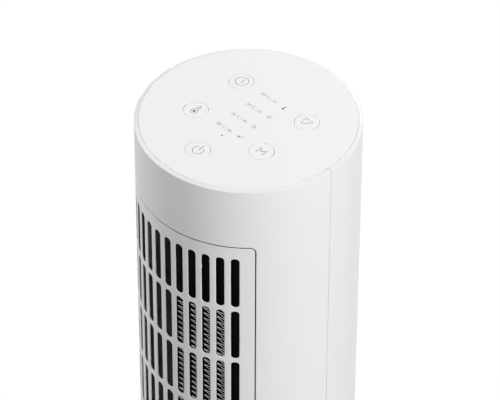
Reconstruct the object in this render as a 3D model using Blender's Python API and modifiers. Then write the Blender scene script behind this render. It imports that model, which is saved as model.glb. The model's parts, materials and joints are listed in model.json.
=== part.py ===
"""Tower fan heater on a swivel base, upright, with its front towards -Y. Lengths are in metres."""

import math

import bmesh
import bpy
from mathutils import Matrix, Vector

# Whole object
TOTAL_HEIGHT = 0.615
BODY_RADIUS = 0.084
HOUSING_WALL = 0.0025
SWIVEL_SPACE = 0.003
BODY_FACETS = 60

# Clearances and cutting
FIT_GAP = 0.0003
SEAM_GAP = 0.0004
PANEL_SEAM = 0.0008
CUT_OVERRUN = 0.004
WELD_DISTANCE = 0.000005
SMOOTH_ANGLE_DEG = 35.0
FLAT_ANGLE_DEG = 0.5
HIDDEN_FACETS = 32
SMALL_FACETS = 8
PANEL_CORNER_STEPS = 2
SLOT_CORNER_STEPS = 1

# Base
BASE_RADIUS = 0.0955
BASE_HEIGHT = 0.030
BASE_WALL = 0.0028
BASE_SIDE_HEIGHT = 0.0165
BASE_FLAT_RADIUS = 0.062
BASE_FACETS = 40
SHOULDER_STEPS = 4
SHOULDER_INNER_STEPS = 2
BASE_PLATE_THICKNESS = 0.0025
FOOT_HEIGHT = 0.003
FOOT_RADIUS = 0.0075
FOOT_INSET = 0.0175
FOOT_COUNT = 4
COUNTERWEIGHT_MARGIN = 0.0125
COUNTERWEIGHT_INNER_RADIUS = 0.036
COUNTERWEIGHT_THICKNESS = 0.006
GLAND_RADIUS = 0.0055
GLAND_FLANGE_RADIUS = 0.0070
GLAND_BORE_RADIUS = 0.0040
GLAND_FLANGE_THICKNESS = 0.0015
GLAND_TAIL_LENGTH = 0.005
GLAND_SET_BACK = 0.0005

# Swivel post and its bearing
POST_RADIUS = 0.014
POST_BORE_RADIUS = 0.009
POST_FLANGE_RADIUS = 0.026
POST_FLANGE_THICKNESS = 0.003
POST_TIP_HEIGHT = 0.0015
POST_FACETS = 20
GLIDE_RING_INNER_RADIUS = 0.034
GLIDE_RING_OUTER_RADIUS = 0.046
RETAINING_RING_WIDTH = 0.004
RETAINING_RING_THICKNESS = 0.0015

# Screws
SCREW_SHANK_RADIUS = 0.00135
SCREW_HOLE_CLEARANCE = 0.00035
SCREW_HEAD_RADIUS = 0.0027
SCREW_HEAD_HEIGHT = 0.0018
SCREW_POINT_SET_BACK = 0.0006
SCREW_FACETS = 10

# Tower shells
RIM_HEIGHT = 0.0014
RIM_WIDTH = 0.0031
LEDGE_WIDTH = 0.003
LEDGE_THICKNESS = 0.002
BOTTOM_CHAMFER = 0.001
HOUSING_FLANGE_WIDTH = 0.0068
HOUSING_FLANGE_HEIGHT = 0.0042
FLOOR_THICKNESS = 0.003
FLOOR_COLLAR_HEIGHT = 0.008
FLOOR_COLLAR_WALL = 0.004
FLOOR_SCREW_COUNT = 4

# Front grille
GRILLE_TOP_DROP = 0.0542
GRILLE_BOTTOM_RISE = 0.0485
GRILLE_HALF_ANGLE_DEG = 48.2
GRILLE_THICKNESS = 0.0014
GRILLE_CORNER_RADIUS = 0.004
GRILLE_END_MARGIN = 0.0107
SLOT_COLUMNS = 11
SLOT_ROWS = 9
SLOT_COLUMN_PITCH_DEG = 7.65
SLOT_WIDTH = 0.0063
SLOT_BAR_HEIGHT = 0.0046
SLOT_CORNER_RADIUS = 0.0027

# Rear grille and dust filter
REAR_SLOT_COLUMNS = 9
REAR_SLOT_ROWS = 3
REAR_SLOT_COLUMN_PITCH_DEG = 9.2
REAR_SLOT_WIDTH = 0.0075
REAR_BAR_HEIGHT = 0.006
REAR_END_MARGIN = 0.009
REAR_GRILLE_END_GAP = 0.003
FILTER_STANDOFF = 0.0006
FILTER_THICKNESS = 0.0014
FILTER_HALF_ANGLE_DEG = 52.0
FILTER_BAR = 0.005
FILTER_COLUMNS = 3
FILTER_ROWS = 3
FILTER_STEP_DEG = 12.0

# Heater pack
HEATER_SET_BACK = 0.028
HEATER_DEPTH = 0.012
HEATER_OVERLAP = 0.0027
TUBE_PITCH = 0.014
TUBE_THICKNESS = 0.0012
FIN_ROWS = 4
FIN_PITCH = 0.00533
FIN_ACROSS = 0.0013
HEATER_FRAME_HEIGHT = 0.022
TERMINAL_WIDTH = 0.0063
TERMINAL_COUNT = 2
CUTOUT_RADIUS = 0.007
CUTOUT_DEPTH = 0.006

# Outlet baffle, funnel and duct
BAFFLE_STANDOFF = 0.003
BAFFLE_THICKNESS = 0.002
BAFFLE_HALF_ANGLE_DEG = 50.0
BAFFLE_END_MARGIN = 0.003
WINDOW_MARGIN = 0.0642
WINDOW_HALF_ANGLE_DEG = 32.5
FUNNEL_STEPS = 10
DUCT_WALL = 0.002
DUCT_SIDE_CLEARANCE = 0.002
DUCT_LEAD_IN = 0.0027
BULKHEAD_THICKNESS = 0.0025

# Cross-flow fan
IMPELLER_RADIUS = 0.028
IMPELLER_CENTRE_Y = 0.020
VOLUTE_OUTLET_CLEARANCE = 0.006
VOLUTE_START_CLEARANCE = 0.002
VOLUTE_WRAP_DEG = 75.0
VOLUTE_STEPS = 6
TONGUE_CLEARANCE = 0.0025
TONGUE_LIP_DEG = 16.0
TONGUE_STEPS = 3
IMPELLER_END_GAP = 0.0025
IMPELLER_DISC_THICKNESS = 0.0025
IMPELLER_HUB_RADIUS = 0.007
IMPELLER_HUB_LENGTH = 0.014
MIDDLE_RING_COUNT = 1
BLADE_COUNT = 14
BLADE_CHORD = 0.0058
BLADE_THICKNESS = 0.0009
BLADE_SWEEP_DEG = 14.0
BLADE_STEPS = 1
SHAFT_RADIUS = 0.0025
SHAFT_CLEARANCE = 0.0003
SHAFT_FACETS = 12
IMPELLER_FACETS = 20
BEARING_RADIUS = 0.007
BEARING_FLANGE_RADIUS = 0.010
BEARING_FLANGE_THICKNESS = 0.002
BEARING_DROP = 0.002
SHAFT_TOP_REACH = 0.001

# Fan motor
MOTOR_RADIUS = 0.027
MOTOR_HEIGHT = 0.036
MOTOR_BOSS_RADIUS = 0.008
MOTOR_BOSS_HEIGHT = 0.0045
MOTOR_CUP_WALL = 0.002
MOTOR_CUP_LIP = 0.007
MOTOR_SHAFT_INSIDE = 0.020

# Swing drive
SWING_LIMIT_DEG = 35.0
GEAR_MODULE = 0.0015
SUN_TEETH = 40
SUN_SPARE_TEETH = 5
PINION_TEETH = 14
PRESSURE_ANGLE_DEG = 25.0
DEDENDUM_IN_MODULES = 1.25
TOOTH_THINNING = 0.0003
GEAR_THICKNESS = 0.005
PINION_HUB_RADIUS = 0.004
SWING_MOTOR_RADIUS = 0.014
SWING_MOTOR_HEIGHT = 0.017
SWING_MOTOR_OFFSET = 0.008
SWING_MOTOR_LIFT = 0.0024
SWING_EAR_REACH = 0.0175
SWING_EAR_WIDTH = 0.007
SWING_EAR_THICKNESS = 0.001
SWING_POST_RADIUS = 0.0035

# Keys and control electronics
PANEL_THICKNESS = 0.0024
KEY_RADIUS = 0.0092
KEY_GROOVE = 0.0004
KEY_FLANGE_WIDTH = 0.0013
KEY_FLANGE_THICKNESS = 0.0012
KEY_STEM_RADIUS = 0.002
KEY_STEM_REACH = 0.0015
KEY_TRAVEL = 0.0008
KEY_FACETS = 20
KEY_SIDE_SHARE = 0.4206
KEY_BACK_SHARE = 0.32754
KEY_FRONT_SHARE = -0.25806
POWER_KEY_SHARE = -0.64516
CARRIER_EDGE_GAP = 0.0079
CARRIER_THICKNESS = 0.0015
CARRIER_POST_RADIUS = 0.003
CARRIER_POST_INSET = 0.006
CARRIER_POST_COUNT = 4
TACT_SIZE = 0.006
TACT_HEIGHT = 0.0035
BOARD_EDGE_INSET = 0.004
BOARD_THICKNESS = 0.0016
GUIDE_PEG_RADIUS = 0.0015
GUIDE_SHEET_THICKNESS = 0.0012
GUIDE_MARGIN = 0.003
GUIDE_ROW_PITCH = 0.0157
GUIDE_ROWS = 4
GUIDE_COLUMN_X = 0.010
GUIDE_FRONT_Y = -0.0205
TRAY_THICKNESS = 0.002
TRAY_POST_HEIGHT = 0.006
TRAY_POST_RADIUS = 0.003
TRAY_POST_INSET = 0.008
TRAY_POST_COUNT = 4

# Power electronics in the foot of the tower
BRACKET_FRONT = 0.044
BRACKET_THICKNESS = 0.002
BRACKET_WIDTH = 0.084
BRACKET_HEIGHT = 0.060
POWER_BOARD_WIDTH = 0.080
POWER_BOARD_HEIGHT = 0.054
TERMINAL_BLOCK_WIDTH = 0.040
TERMINAL_BLOCK_DEPTH = 0.011
TERMINAL_BLOCK_HEIGHT = 0.010
TRANSFORMER_WIDTH = 0.026
TRANSFORMER_DEPTH = 0.018
TRANSFORMER_HEIGHT = 0.022
RELAY_WIDTH = 0.012
RELAY_DEPTH = 0.015
RELAY_HEIGHT = 0.018
CAPACITOR_RADIUS = 0.006
CAPACITOR_LENGTH = 0.014
CONNECTOR_WIDTH = 0.008
TILT_SWITCH_SIZE = 0.014
TILT_SWITCH_HEIGHT = 0.016
TILT_SWITCH_INSET = 0.0247
TILT_SWITCH_Y = 0.010

# Leads inside the tower
LEAD_RADIUS = 0.0013
LEAD_HOLE_CLEARANCE = 0.0015
PANEL_CABLE_RADIUS = 0.0016
PANEL_CABLE_INSET = 0.0215
PANEL_CABLE_Y = -0.005
LEAD_STEPS = 3
LEAD_BEND_REACH = 0.006
LEAD_STRAIGHT_SHARE = 0.25

# Levels and radii that follow
BASE_TOP = FOOT_HEIGHT + BASE_HEIGHT
TOWER_BOTTOM = BASE_TOP + SWIVEL_SPACE
INNER_RADIUS = BODY_RADIUS - HOUSING_WALL
FACET_SHRINK = math.cos(math.pi / BODY_FACETS)
FITTED_RADIUS = INNER_RADIUS * FACET_SHRINK - FIT_GAP
FLANGE_RADIUS = INNER_RADIUS - HOUSING_FLANGE_WIDTH
FLANGE_TOP = TOWER_BOTTOM + HOUSING_FLANGE_HEIGHT
TILT_SWITCH_X = TILT_SWITCH_INSET - FLANGE_RADIUS
FLOOR_TOP = TOWER_BOTTOM + FLOOR_THICKNESS
FLOOR_RING_BOTTOM = FLANGE_TOP + FIT_GAP
COLLAR_TOP = TOWER_BOTTOM + FLOOR_COLLAR_HEIGHT
GEAR_BOTTOM = COLLAR_TOP + FIT_GAP
GEAR_TOP = GEAR_BOTTOM + GEAR_THICKNESS
RETAINING_RING_TOP = GEAR_TOP + FIT_GAP + RETAINING_RING_THICKNESS
SUN_RADIUS = GEAR_MODULE * SUN_TEETH / 2
SUN_SECTOR_TEETH = 2 * math.ceil(SWING_LIMIT_DEG * SUN_TEETH / 360) + SUN_SPARE_TEETH
PINION_RADIUS = GEAR_MODULE * PINION_TEETH / 2
PINION_Y = SUN_RADIUS + PINION_RADIUS
SWING_MOTOR_BOTTOM = GEAR_TOP + SWING_MOTOR_LIFT

GRILLE_TOP = TOTAL_HEIGHT - GRILLE_TOP_DROP
GRILLE_BOTTOM = TOWER_BOTTOM + GRILLE_BOTTOM_RISE
WINDOW_TOP = GRILLE_TOP - WINDOW_MARGIN
WINDOW_BOTTOM = GRILLE_BOTTOM + WINDOW_MARGIN
BAFFLE_OUTER_RADIUS = INNER_RADIUS - BAFFLE_STANDOFF
BAFFLE_INNER_RADIUS = BAFFLE_OUTER_RADIUS - BAFFLE_THICKNESS
BAFFLE_SEAT_RADIUS = BAFFLE_INNER_RADIUS * FACET_SHRINK - FIT_GAP
HEATER_FRONT = BAFFLE_INNER_RADIUS - HEATER_SET_BACK
HEATER_BOTTOM = WINDOW_BOTTOM - HEATER_OVERLAP
HEATER_TOP = WINDOW_TOP + HEATER_OVERLAP
HEATER_CENTRE_Y = -HEATER_FRONT + HEATER_DEPTH / 2
LOWER_FRAME_BOTTOM = HEATER_BOTTOM - FIT_GAP - HEATER_FRAME_HEIGHT
UPPER_FRAME_TOP = HEATER_TOP + FIT_GAP + HEATER_FRAME_HEIGHT
LOWER_BULKHEAD_TOP = LOWER_FRAME_BOTTOM - FIT_GAP
LOWER_BULKHEAD_BOTTOM = LOWER_BULKHEAD_TOP - BULKHEAD_THICKNESS
UPPER_BULKHEAD_BOTTOM = UPPER_FRAME_TOP + FIT_GAP
UPPER_BULKHEAD_TOP = UPPER_BULKHEAD_BOTTOM + BULKHEAD_THICKNESS
DUCT_BOTTOM = LOWER_BULKHEAD_TOP + FIT_GAP
DUCT_TOP = UPPER_BULKHEAD_BOTTOM - FIT_GAP
DUCT_HALF_WIDTH = (FIN_ROWS * TUBE_PITCH + TUBE_THICKNESS) / 2 + DUCT_SIDE_CLEARANCE
DUCT_FRONT_Y = -HEATER_FRONT - DUCT_LEAD_IN
IMPELLER_X = DUCT_HALF_WIDTH - VOLUTE_OUTLET_CLEARANCE - IMPELLER_RADIUS
IMPELLER_BOTTOM = LOWER_BULKHEAD_TOP + IMPELLER_END_GAP
IMPELLER_TOP = UPPER_BULKHEAD_BOTTOM - IMPELLER_END_GAP
MOTOR_TOP = LOWER_BULKHEAD_BOTTOM - FIT_GAP - MOTOR_BOSS_HEIGHT
MOTOR_BOTTOM = MOTOR_TOP - MOTOR_HEIGHT

PANEL_RADIUS = BODY_RADIUS - RIM_WIDTH - FIT_GAP
PANEL_BOTTOM = TOTAL_HEIGHT - PANEL_THICKNESS
CARRIER_RADIUS = BODY_RADIUS - RIM_WIDTH - LEDGE_WIDTH - CARRIER_EDGE_GAP
BOARD_RADIUS = CARRIER_RADIUS - BOARD_EDGE_INSET
PANEL_CABLE_X = PANEL_CABLE_INSET - INNER_RADIUS
KEY_FLANGE_TOP = PANEL_BOTTOM - FIT_GAP
KEY_FLANGE_BOTTOM = KEY_FLANGE_TOP - KEY_FLANGE_THICKNESS
CARRIER_TOP = KEY_FLANGE_BOTTOM - KEY_TRAVEL - FIT_GAP
CARRIER_BOTTOM = CARRIER_TOP - CARRIER_THICKNESS
KEY_STEM_END = CARRIER_BOTTOM - KEY_STEM_REACH
TACT_TOP = KEY_STEM_END - KEY_TRAVEL - FIT_GAP
BOARD_TOP = TACT_TOP - TACT_HEIGHT - FIT_GAP
BOARD_BOTTOM = BOARD_TOP - BOARD_THICKNESS
TRAY_POST_TOP = BOARD_BOTTOM - FIT_GAP
TRAY_TOP = TRAY_POST_TOP - TRAY_POST_HEIGHT
TRAY_BOTTOM = TRAY_TOP - TRAY_THICKNESS
POWER_BOARD_BACK_Y = -BRACKET_FRONT - FIT_GAP
POWER_BOARD_FRONT_Y = POWER_BOARD_BACK_Y - BOARD_THICKNESS
COMPONENT_BACK_Y = POWER_BOARD_FRONT_Y + BOARD_THICKNESS / 2
BRACKET_BOTTOM = FLOOR_TOP + FIT_GAP
BRACKET_TOP = BRACKET_BOTTOM + BRACKET_HEIGHT

# Places of the keys, as shares of the panel's radius
KEY_SHARES = {
    "key_power": (0.0, POWER_KEY_SHARE),
    "key_mode": (KEY_SIDE_SHARE, KEY_FRONT_SHARE),
    "key_swing": (KEY_SIDE_SHARE, KEY_BACK_SHARE),
    "key_temperature": (-KEY_SIDE_SHARE, KEY_FRONT_SHARE),
    "key_timer": (-KEY_SIDE_SHARE, KEY_BACK_SHARE),
}
KEYS = {name: (x * PANEL_RADIUS, y * PANEL_RADIUS) for name, (x, y) in KEY_SHARES.items()}

# Colour, roughness and metallic value of each finish
LOOKS = {
    "white_shell": ((0.84, 0.84, 0.84), 0.42, 0.0),
    "white_gloss": ((0.86, 0.86, 0.86), 0.28, 0.0),
    "black_plastic": ((0.02, 0.02, 0.022), 0.45, 0.0),
    "grey_plastic": ((0.35, 0.36, 0.37), 0.5, 0.0),
    "cream_plastic": ((0.72, 0.68, 0.58), 0.5, 0.0),
    "aluminium": ((0.62, 0.63, 0.64), 0.35, 1.0),
    "steel": ((0.52, 0.52, 0.53), 0.35, 1.0),
    "cast_iron": ((0.12, 0.12, 0.13), 0.6, 0.6),
    "rubber": ((0.03, 0.03, 0.03), 0.8, 0.0),
    "circuit_board": ((0.03, 0.22, 0.10), 0.4, 0.0),
    "clear_lens": ((0.9, 0.92, 0.9), 0.15, 0.0),
    "net": ((0.15, 0.15, 0.16), 0.7, 0.0),
}


def clear_scene():
    for item in list(bpy.data.objects):
        bpy.data.objects.remove(item, do_unlink=True)


def new_collection(name):
    group = bpy.data.collections.new(name)
    bpy.context.scene.collection.children.link(group)
    return group


clear_scene()
PARTS = new_collection("tower_fan_heater")
CUTTERS = new_collection("cutting_shapes")


def make_finish(name, look):
    colour, roughness, metallic = LOOKS[look]
    finish = bpy.data.materials.new(name + "_finish")
    finish.use_nodes = True
    shader = finish.node_tree.nodes["Principled BSDF"]
    shader.inputs["Base Color"].default_value = (*colour, 1.0)
    shader.inputs["Roughness"].default_value = roughness
    shader.inputs["Metallic"].default_value = metallic
    finish.diffuse_color = (*colour, 1.0)
    return finish


def seat(item, at, axis):
    """Place an object by its rest position in the world, under an axis empty if one is given."""
    item.location = at
    if axis:
        item.parent = axis
        item.matrix_parent_inverse = Matrix.Translation(-Vector(axis["rest_place"]))


def make_axis(name, at, axis=None):
    empty = bpy.data.objects.new(name, None)
    PARTS.objects.link(empty)
    empty["rest_place"] = at
    seat(empty, at, axis)
    return empty


def add_part(name, bm, look, at=(0, 0, 0), axis=None):
    """Turn a bmesh into a named, shaded part."""
    mesh = bpy.data.meshes.new(name)
    bm.to_mesh(mesh)
    bm.free()
    mesh.shade_smooth()
    mesh.set_sharp_from_angle(angle=math.radians(SMOOTH_ANGLE_DEG))
    mesh.materials.append(make_finish(name, look))
    part = bpy.data.objects.new(name, mesh)
    PARTS.objects.link(part)
    seat(part, at, axis)
    return part


def combine(part, name, bm, operation, at=(0, 0, 0)):
    """Cut a shape out of a part, or join one to it, with a live Boolean."""
    mesh = bpy.data.meshes.new(name)
    bm.to_mesh(mesh)
    bm.free()
    tool = bpy.data.objects.new(name, mesh)
    CUTTERS.objects.link(tool)
    tool.location = at
    tool.hide_render = True
    tool.display_type = "WIRE"
    boolean = part.modifiers.new(name, "BOOLEAN")
    boolean.solver = "EXACT"
    boolean.operation = operation
    boolean.object = tool


def cut(part, name, bm, at=(0, 0, 0)):
    combine(part, name, bm, "DIFFERENCE", at)


def unite(part, name, bm, at=(0, 0, 0)):
    combine(part, name, bm, "UNION", at)


def add_box(bm, low, high):
    low, high = Vector(low), Vector(high)
    size = high - low
    place = Matrix.Translation((low + high) / 2) @ Matrix.Diagonal((*size, 1))
    bmesh.ops.create_cube(bm, size=1, matrix=place)


def add_cylinder(bm, radius, bottom, top, facets, centre=(0, 0)):
    place = Matrix.Translation((centre[0], centre[1], (bottom + top) / 2))
    bmesh.ops.create_cone(bm, cap_ends=True, segments=facets, radius1=radius, radius2=radius,
                          depth=top - bottom, matrix=place)


def add_lying_cylinder(bm, radius, back, front, facets, centre):
    """A cylinder along Y from back to front, centred at (x, z)."""
    turn = Matrix.Rotation(math.radians(90), 4, "X")
    place = Matrix.Translation((centre[0], (back + front) / 2, centre[1])) @ turn
    bmesh.ops.create_cone(bm, cap_ends=True, segments=facets, radius1=radius, radius2=radius,
                          depth=abs(back - front), matrix=place)


def circle(radius, facets, centre=(0, 0)):
    steps = [2 * math.pi * k / facets for k in range(facets)]
    return [(centre[0] + radius * math.cos(a), centre[1] + radius * math.sin(a)) for a in steps]


def clear_of(radius, facets):
    """Radius of a faceted hole whose flats keep the fit gap to a round of the given radius."""
    return (radius + FIT_GAP) / math.cos(math.pi / facets)


def rounded_rectangle(left, right, bottom, top, radius, steps):
    """Corner arcs of a rectangle, counter-clockwise."""
    corners = [(right - radius, top - radius, 0), (left + radius, top - radius, 90),
               (left + radius, bottom + radius, 180), (right - radius, bottom + radius, 270)]
    points = []
    for x, y, first in corners:
        for k in range(steps + 1):
            a = math.radians(first + 90 * k / steps)
            points.append((x + radius * math.cos(a), y + radius * math.sin(a)))
    return points


def flat_shape(loops, thickness):
    """A flat plate in XY from an outer loop and its holes, centred on z = 0."""
    curve = bpy.data.curves.new("outline", "CURVE")
    curve.dimensions = "2D"
    curve.fill_mode = "BOTH"
    curve.extrude = thickness / 2
    for loop in loops:
        spline = curve.splines.new("POLY")
        spline.points.add(len(loop) - 1)
        for point, (x, y) in zip(spline.points, loop):
            point.co = (x, y, 0, 1)
        spline.use_cyclic_u = True
    return curve_to_bmesh(curve)


def tube_shape(points, radius):
    """A round lead along a list of points."""
    curve = bpy.data.curves.new("lead", "CURVE")
    curve.dimensions = "3D"
    curve.bevel_depth = radius
    curve.bevel_resolution = 1
    curve.use_fill_caps = True
    spline = curve.splines.new("POLY")
    spline.points.add(len(points) - 1)
    for point, place in zip(spline.points, points):
        point.co = (*place, 1)
    return curve_to_bmesh(curve)


def curve_to_bmesh(curve):
    guide = bpy.data.objects.new("guide", curve)
    PARTS.objects.link(guide)
    evaluated = guide.evaluated_get(bpy.context.evaluated_depsgraph_get())
    mesh = bpy.data.meshes.new_from_object(evaluated)
    bm = bmesh.new()
    bm.from_mesh(mesh)
    bpy.data.objects.remove(guide, do_unlink=True)
    bpy.data.curves.remove(curve)
    bpy.data.meshes.remove(mesh)
    bmesh.ops.remove_doubles(bm, verts=bm.verts, dist=WELD_DISTANCE)
    bmesh.ops.recalc_face_normals(bm, faces=bm.faces)
    return bm


def plate(loops, bottom, top):
    """A level plate between two heights."""
    bm = flat_shape(loops, top - bottom)
    bmesh.ops.translate(bm, verts=bm.verts, vec=(0, 0, (bottom + top) / 2))
    return bm


def bend(bm, angles, thickness, outer_radius, centre_deg=0.0):
    """Fold a flat panel round the tower axis, in straight facets between the given angles.

    In the flat panel x is the arc length at the body radius, y the height and z the depth.
    """
    for angle in angles[1:-1]:
        everything = bm.verts[:] + bm.edges[:] + bm.faces[:]
        bmesh.ops.bisect_plane(bm, geom=everything, dist=WELD_DISTANCE,
                               plane_co=(angle * BODY_RADIUS, 0, 0), plane_no=(1, 0, 0))
    turn = math.radians(centre_deg)
    for vert in bm.verts:
        radius = outer_radius - thickness / 2 + vert.co.z
        angle = min(max(vert.co.x / BODY_RADIUS, angles[0]), angles[-1])
        facet = max(k for k in range(len(angles) - 1) if angles[k] <= angle or k == 0)
        first, last = angles[facet] + turn, angles[facet + 1] + turn
        share = (angle + turn - first) / (last - first)
        start = Vector((math.sin(first), -math.cos(first)))
        end = Vector((math.sin(last), -math.cos(last)))
        place = start.lerp(end, share) * radius
        vert.co = (place.x, place.y, vert.co.y)
    bmesh.ops.recalc_face_normals(bm, faces=bm.faces)
    bmesh.ops.dissolve_limit(bm, angle_limit=math.radians(FLAT_ANGLE_DEG), verts=bm.verts,
                             edges=bm.edges)
    return bm


def even_angles(half_angle_deg, step_deg=360.0 / BODY_FACETS):
    """Facet angles from minus to plus the half angle, in radians."""
    count = max(2, math.ceil(2 * half_angle_deg / step_deg))
    half = math.radians(half_angle_deg)
    return [-half + 2 * half * k / count for k in range(count + 1)]


def turned(name, profile, facets, look, at=(0, 0, 0), axis=None):
    """A turned solid from points (radius, height) that run down the outer side."""
    bm = bmesh.new()
    verts = [bm.verts.new((radius, 0, height)) for radius, height in profile]
    pairs = list(zip(verts, verts[1:] + verts[:1]))
    for first, second in pairs:
        if first.co.x > 0 or second.co.x > 0:
            bm.edges.new((first, second))
    part = add_part(name, bm, look, at, axis)
    screw = part.modifiers.new("turn", "SCREW")
    screw.steps = facets
    screw.render_steps = facets
    screw.use_merge_vertices = True
    screw.merge_threshold = WELD_DISTANCE
    return part


def ring_profile(inner, outer, bottom, top):
    return [(inner, top), (outer, top), (outer, bottom), (inner, bottom)]


def half_turned(profile, first_deg, last_deg, facets):
    """Part of a turned solid between two angles, measured from the front towards +X."""
    start = math.radians(first_deg)
    bm = bmesh.new()
    verts = [bm.verts.new((r * math.sin(start), -r * math.cos(start), z)) for r, z in profile]
    face = bm.faces.new(verts)
    bmesh.ops.spin(bm, geom=[face] + face.edges[:] + verts, cent=(0, 0, 0), axis=(0, 0, 1),
                   dvec=(0, 0, 0), angle=math.radians(last_deg - first_deg), steps=facets,
                   use_duplicate=False)
    bmesh.ops.recalc_face_normals(bm, faces=bm.faces)
    return bm


def standing_wall(name, points, bottom, top, side, axis):
    """A duct wall: a line of plan points raised to its height and given its thickness."""
    bm = bmesh.new()
    verts = [bm.verts.new((x, y, bottom)) for x, y in points]
    edges = [bm.edges.new(pair) for pair in zip(verts, verts[1:])]
    raised = bmesh.ops.extrude_edge_only(bm, edges=edges)["geom"]
    upper = [item for item in raised if isinstance(item, bmesh.types.BMVert)]
    bmesh.ops.translate(bm, verts=upper, vec=(0, 0, top - bottom))
    wall = add_part(name, bm, "black_plastic", axis=axis)
    solid = wall.modifiers.new("wall", "SOLIDIFY")
    solid.thickness = DUCT_WALL
    solid.offset = side
    solid.use_even_offset = True
    return wall


def ring_places(count, radius, first_deg=45.0):
    steps = [math.radians(first_deg + 360 * k / count) for k in range(count)]
    return [(radius * math.cos(a), radius * math.sin(a)) for a in steps]


def rounded_path(points, reach, steps):
    """Straight runs between a few places, with each corner rounded from reach before it to reach past it."""
    places = [Vector(point) for point in points]
    path = [places[0]]
    for before, corner, after in zip(places, places[1:], places[2:]):
        first = corner + (before - corner).normalized() * min(reach, (before - corner).length / 2)
        last = corner + (after - corner).normalized() * min(reach, (after - corner).length / 2)
        for k in range(steps + 1):
            share = k / steps
            path.append(first.lerp(corner, share).lerp(corner.lerp(last, share), share))
    path.append(places[-1])
    return path


def gear_loop(teeth, outside_only=None, first_deg=90.0):
    """Involute gear outline; outside_only keeps that many teeth round the first angle."""
    pitch_radius = GEAR_MODULE * teeth / 2
    pressure = math.radians(PRESSURE_ANGLE_DEG)
    base_radius = pitch_radius * math.cos(pressure)
    tip = pitch_radius + GEAR_MODULE
    root = pitch_radius - DEDENDUM_IN_MODULES * GEAR_MODULE
    thickness = math.pi * GEAR_MODULE / 2 - TOOTH_THINNING

    def half_angle(radius):
        reach = math.acos(min(1.0, base_radius / max(radius, base_radius)))
        return thickness / pitch_radius / 2 + math.tan(pressure) - pressure - math.tan(reach) + reach

    flank = [(radius, half_angle(radius)) for radius in (root, pitch_radius, tip)]
    kept = teeth if outside_only is None else outside_only
    loop = []
    for k in range(teeth):
        centre = math.radians(first_deg) + 2 * math.pi * (k - kept // 2) / teeth
        if k < kept:
            steps = [(r, centre - a) for r, a in flank] + [(r, centre + a) for r, a in reversed(flank)]
        else:
            steps = [(root, centre)]
        loop += [(r * math.cos(a), r * math.sin(a)) for r, a in steps]
    return loop


def shoulder(outer_radius, side_top, top, steps):
    """Quarter ellipse from the flat top of the base down to its side."""
    points = []
    for k in range(steps + 1):
        a = math.radians(90 - 90 * k / steps)
        radius = BASE_FLAT_RADIUS + (outer_radius - BASE_FLAT_RADIUS) * math.cos(a)
        points.append((radius, side_top + (top - side_top) * math.sin(a)))
    return points


def add_screw(name, centre, seat_height, tip_height, axis):
    """A pan-head screw put in from below: head under its seat, shank up to the tip."""
    head_bottom = seat_height - SCREW_HEAD_HEIGHT
    profile = [(0, tip_height), (SCREW_SHANK_RADIUS, tip_height), (SCREW_SHANK_RADIUS, seat_height),
               (SCREW_HEAD_RADIUS, seat_height), (SCREW_HEAD_RADIUS, head_bottom), (0, head_bottom)]
    return turned(name, profile, SCREW_FACETS, "steel", at=(*centre, 0), axis=axis)


def build_base():
    bottom = FOOT_HEIGHT
    side_top = bottom + BASE_SIDE_HEIGHT
    inner = BASE_RADIUS - BASE_WALL
    hole = POST_RADIUS + FIT_GAP
    outside = shoulder(BASE_RADIUS, side_top, BASE_TOP, SHOULDER_STEPS)
    inside = shoulder(inner, side_top, BASE_TOP - BASE_WALL, SHOULDER_INNER_STEPS)
    profile = [(hole, BASE_TOP), *outside, (BASE_RADIUS, bottom), (inner, bottom),
               *reversed(inside), (hole, BASE_TOP - BASE_WALL)]
    shell = turned("base_shell", profile, BASE_FACETS, "white_shell")

    plate_bottom = bottom + FIT_GAP
    plate_top = plate_bottom + BASE_PLATE_THICKNESS
    gland_height = plate_top + FIT_GAP + GLAND_FLANGE_RADIUS
    facet_shrink = math.cos(math.pi / BASE_FACETS)
    hole_shape = bmesh.new()
    add_lying_cylinder(hole_shape, GLAND_RADIUS + FIT_GAP, inner - CUT_OVERRUN, BASE_RADIUS + CUT_OVERRUN,
                       SHAFT_FACETS, (0, gland_height))
    cut(shell, "gland_hole", hole_shape)
    flange_front = inner * facet_shrink - FIT_GAP - GLAND_FLANGE_RADIUS ** 2 / inner
    build_gland(gland_height, flange_front)

    plate_radius = inner * facet_shrink - FIT_GAP
    disc = plate([circle(plate_radius, BASE_FACETS)], plate_bottom, plate_top)
    add_part("base_plate", disc, "grey_plastic")
    for number, centre in enumerate(ring_places(FOOT_COUNT, BASE_RADIUS - FOOT_INSET), 1):
        foot = bmesh.new()
        add_cylinder(foot, FOOT_RADIUS, 0, FOOT_HEIGHT, POST_FACETS)
        add_part(f"rubber_foot_{number}", foot, "rubber", at=(*centre, 0))
    weight_bottom = plate_top + FIT_GAP
    weight = ring_profile(COUNTERWEIGHT_INNER_RADIUS, BASE_RADIUS - COUNTERWEIGHT_MARGIN - BASE_WALL,
                          weight_bottom, weight_bottom + COUNTERWEIGHT_THICKNESS)
    turned("counterweight", weight, HIDDEN_FACETS, "cast_iron")


def build_gland(height, flange_front):
    """The bush that guides the mains lead through the back wall of the base."""
    nose = BASE_RADIUS * math.cos(math.pi / BASE_FACETS) - GLAND_SET_BACK
    flange_back = flange_front - GLAND_FLANGE_THICKNESS
    tail = flange_back - GLAND_TAIL_LENGTH
    profile = [(GLAND_BORE_RADIUS, nose), (GLAND_RADIUS, nose), (GLAND_RADIUS, flange_front),
               (GLAND_FLANGE_RADIUS, flange_front), (GLAND_FLANGE_RADIUS, flange_back),
               (GLAND_RADIUS, flange_back), (GLAND_RADIUS, tail), (GLAND_BORE_RADIUS, tail)]
    gland = turned("cord_gland", profile, SHAFT_FACETS, "rubber", at=(0, 0, height))
    gland.rotation_euler = (math.radians(-90), 0, 0)


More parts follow.
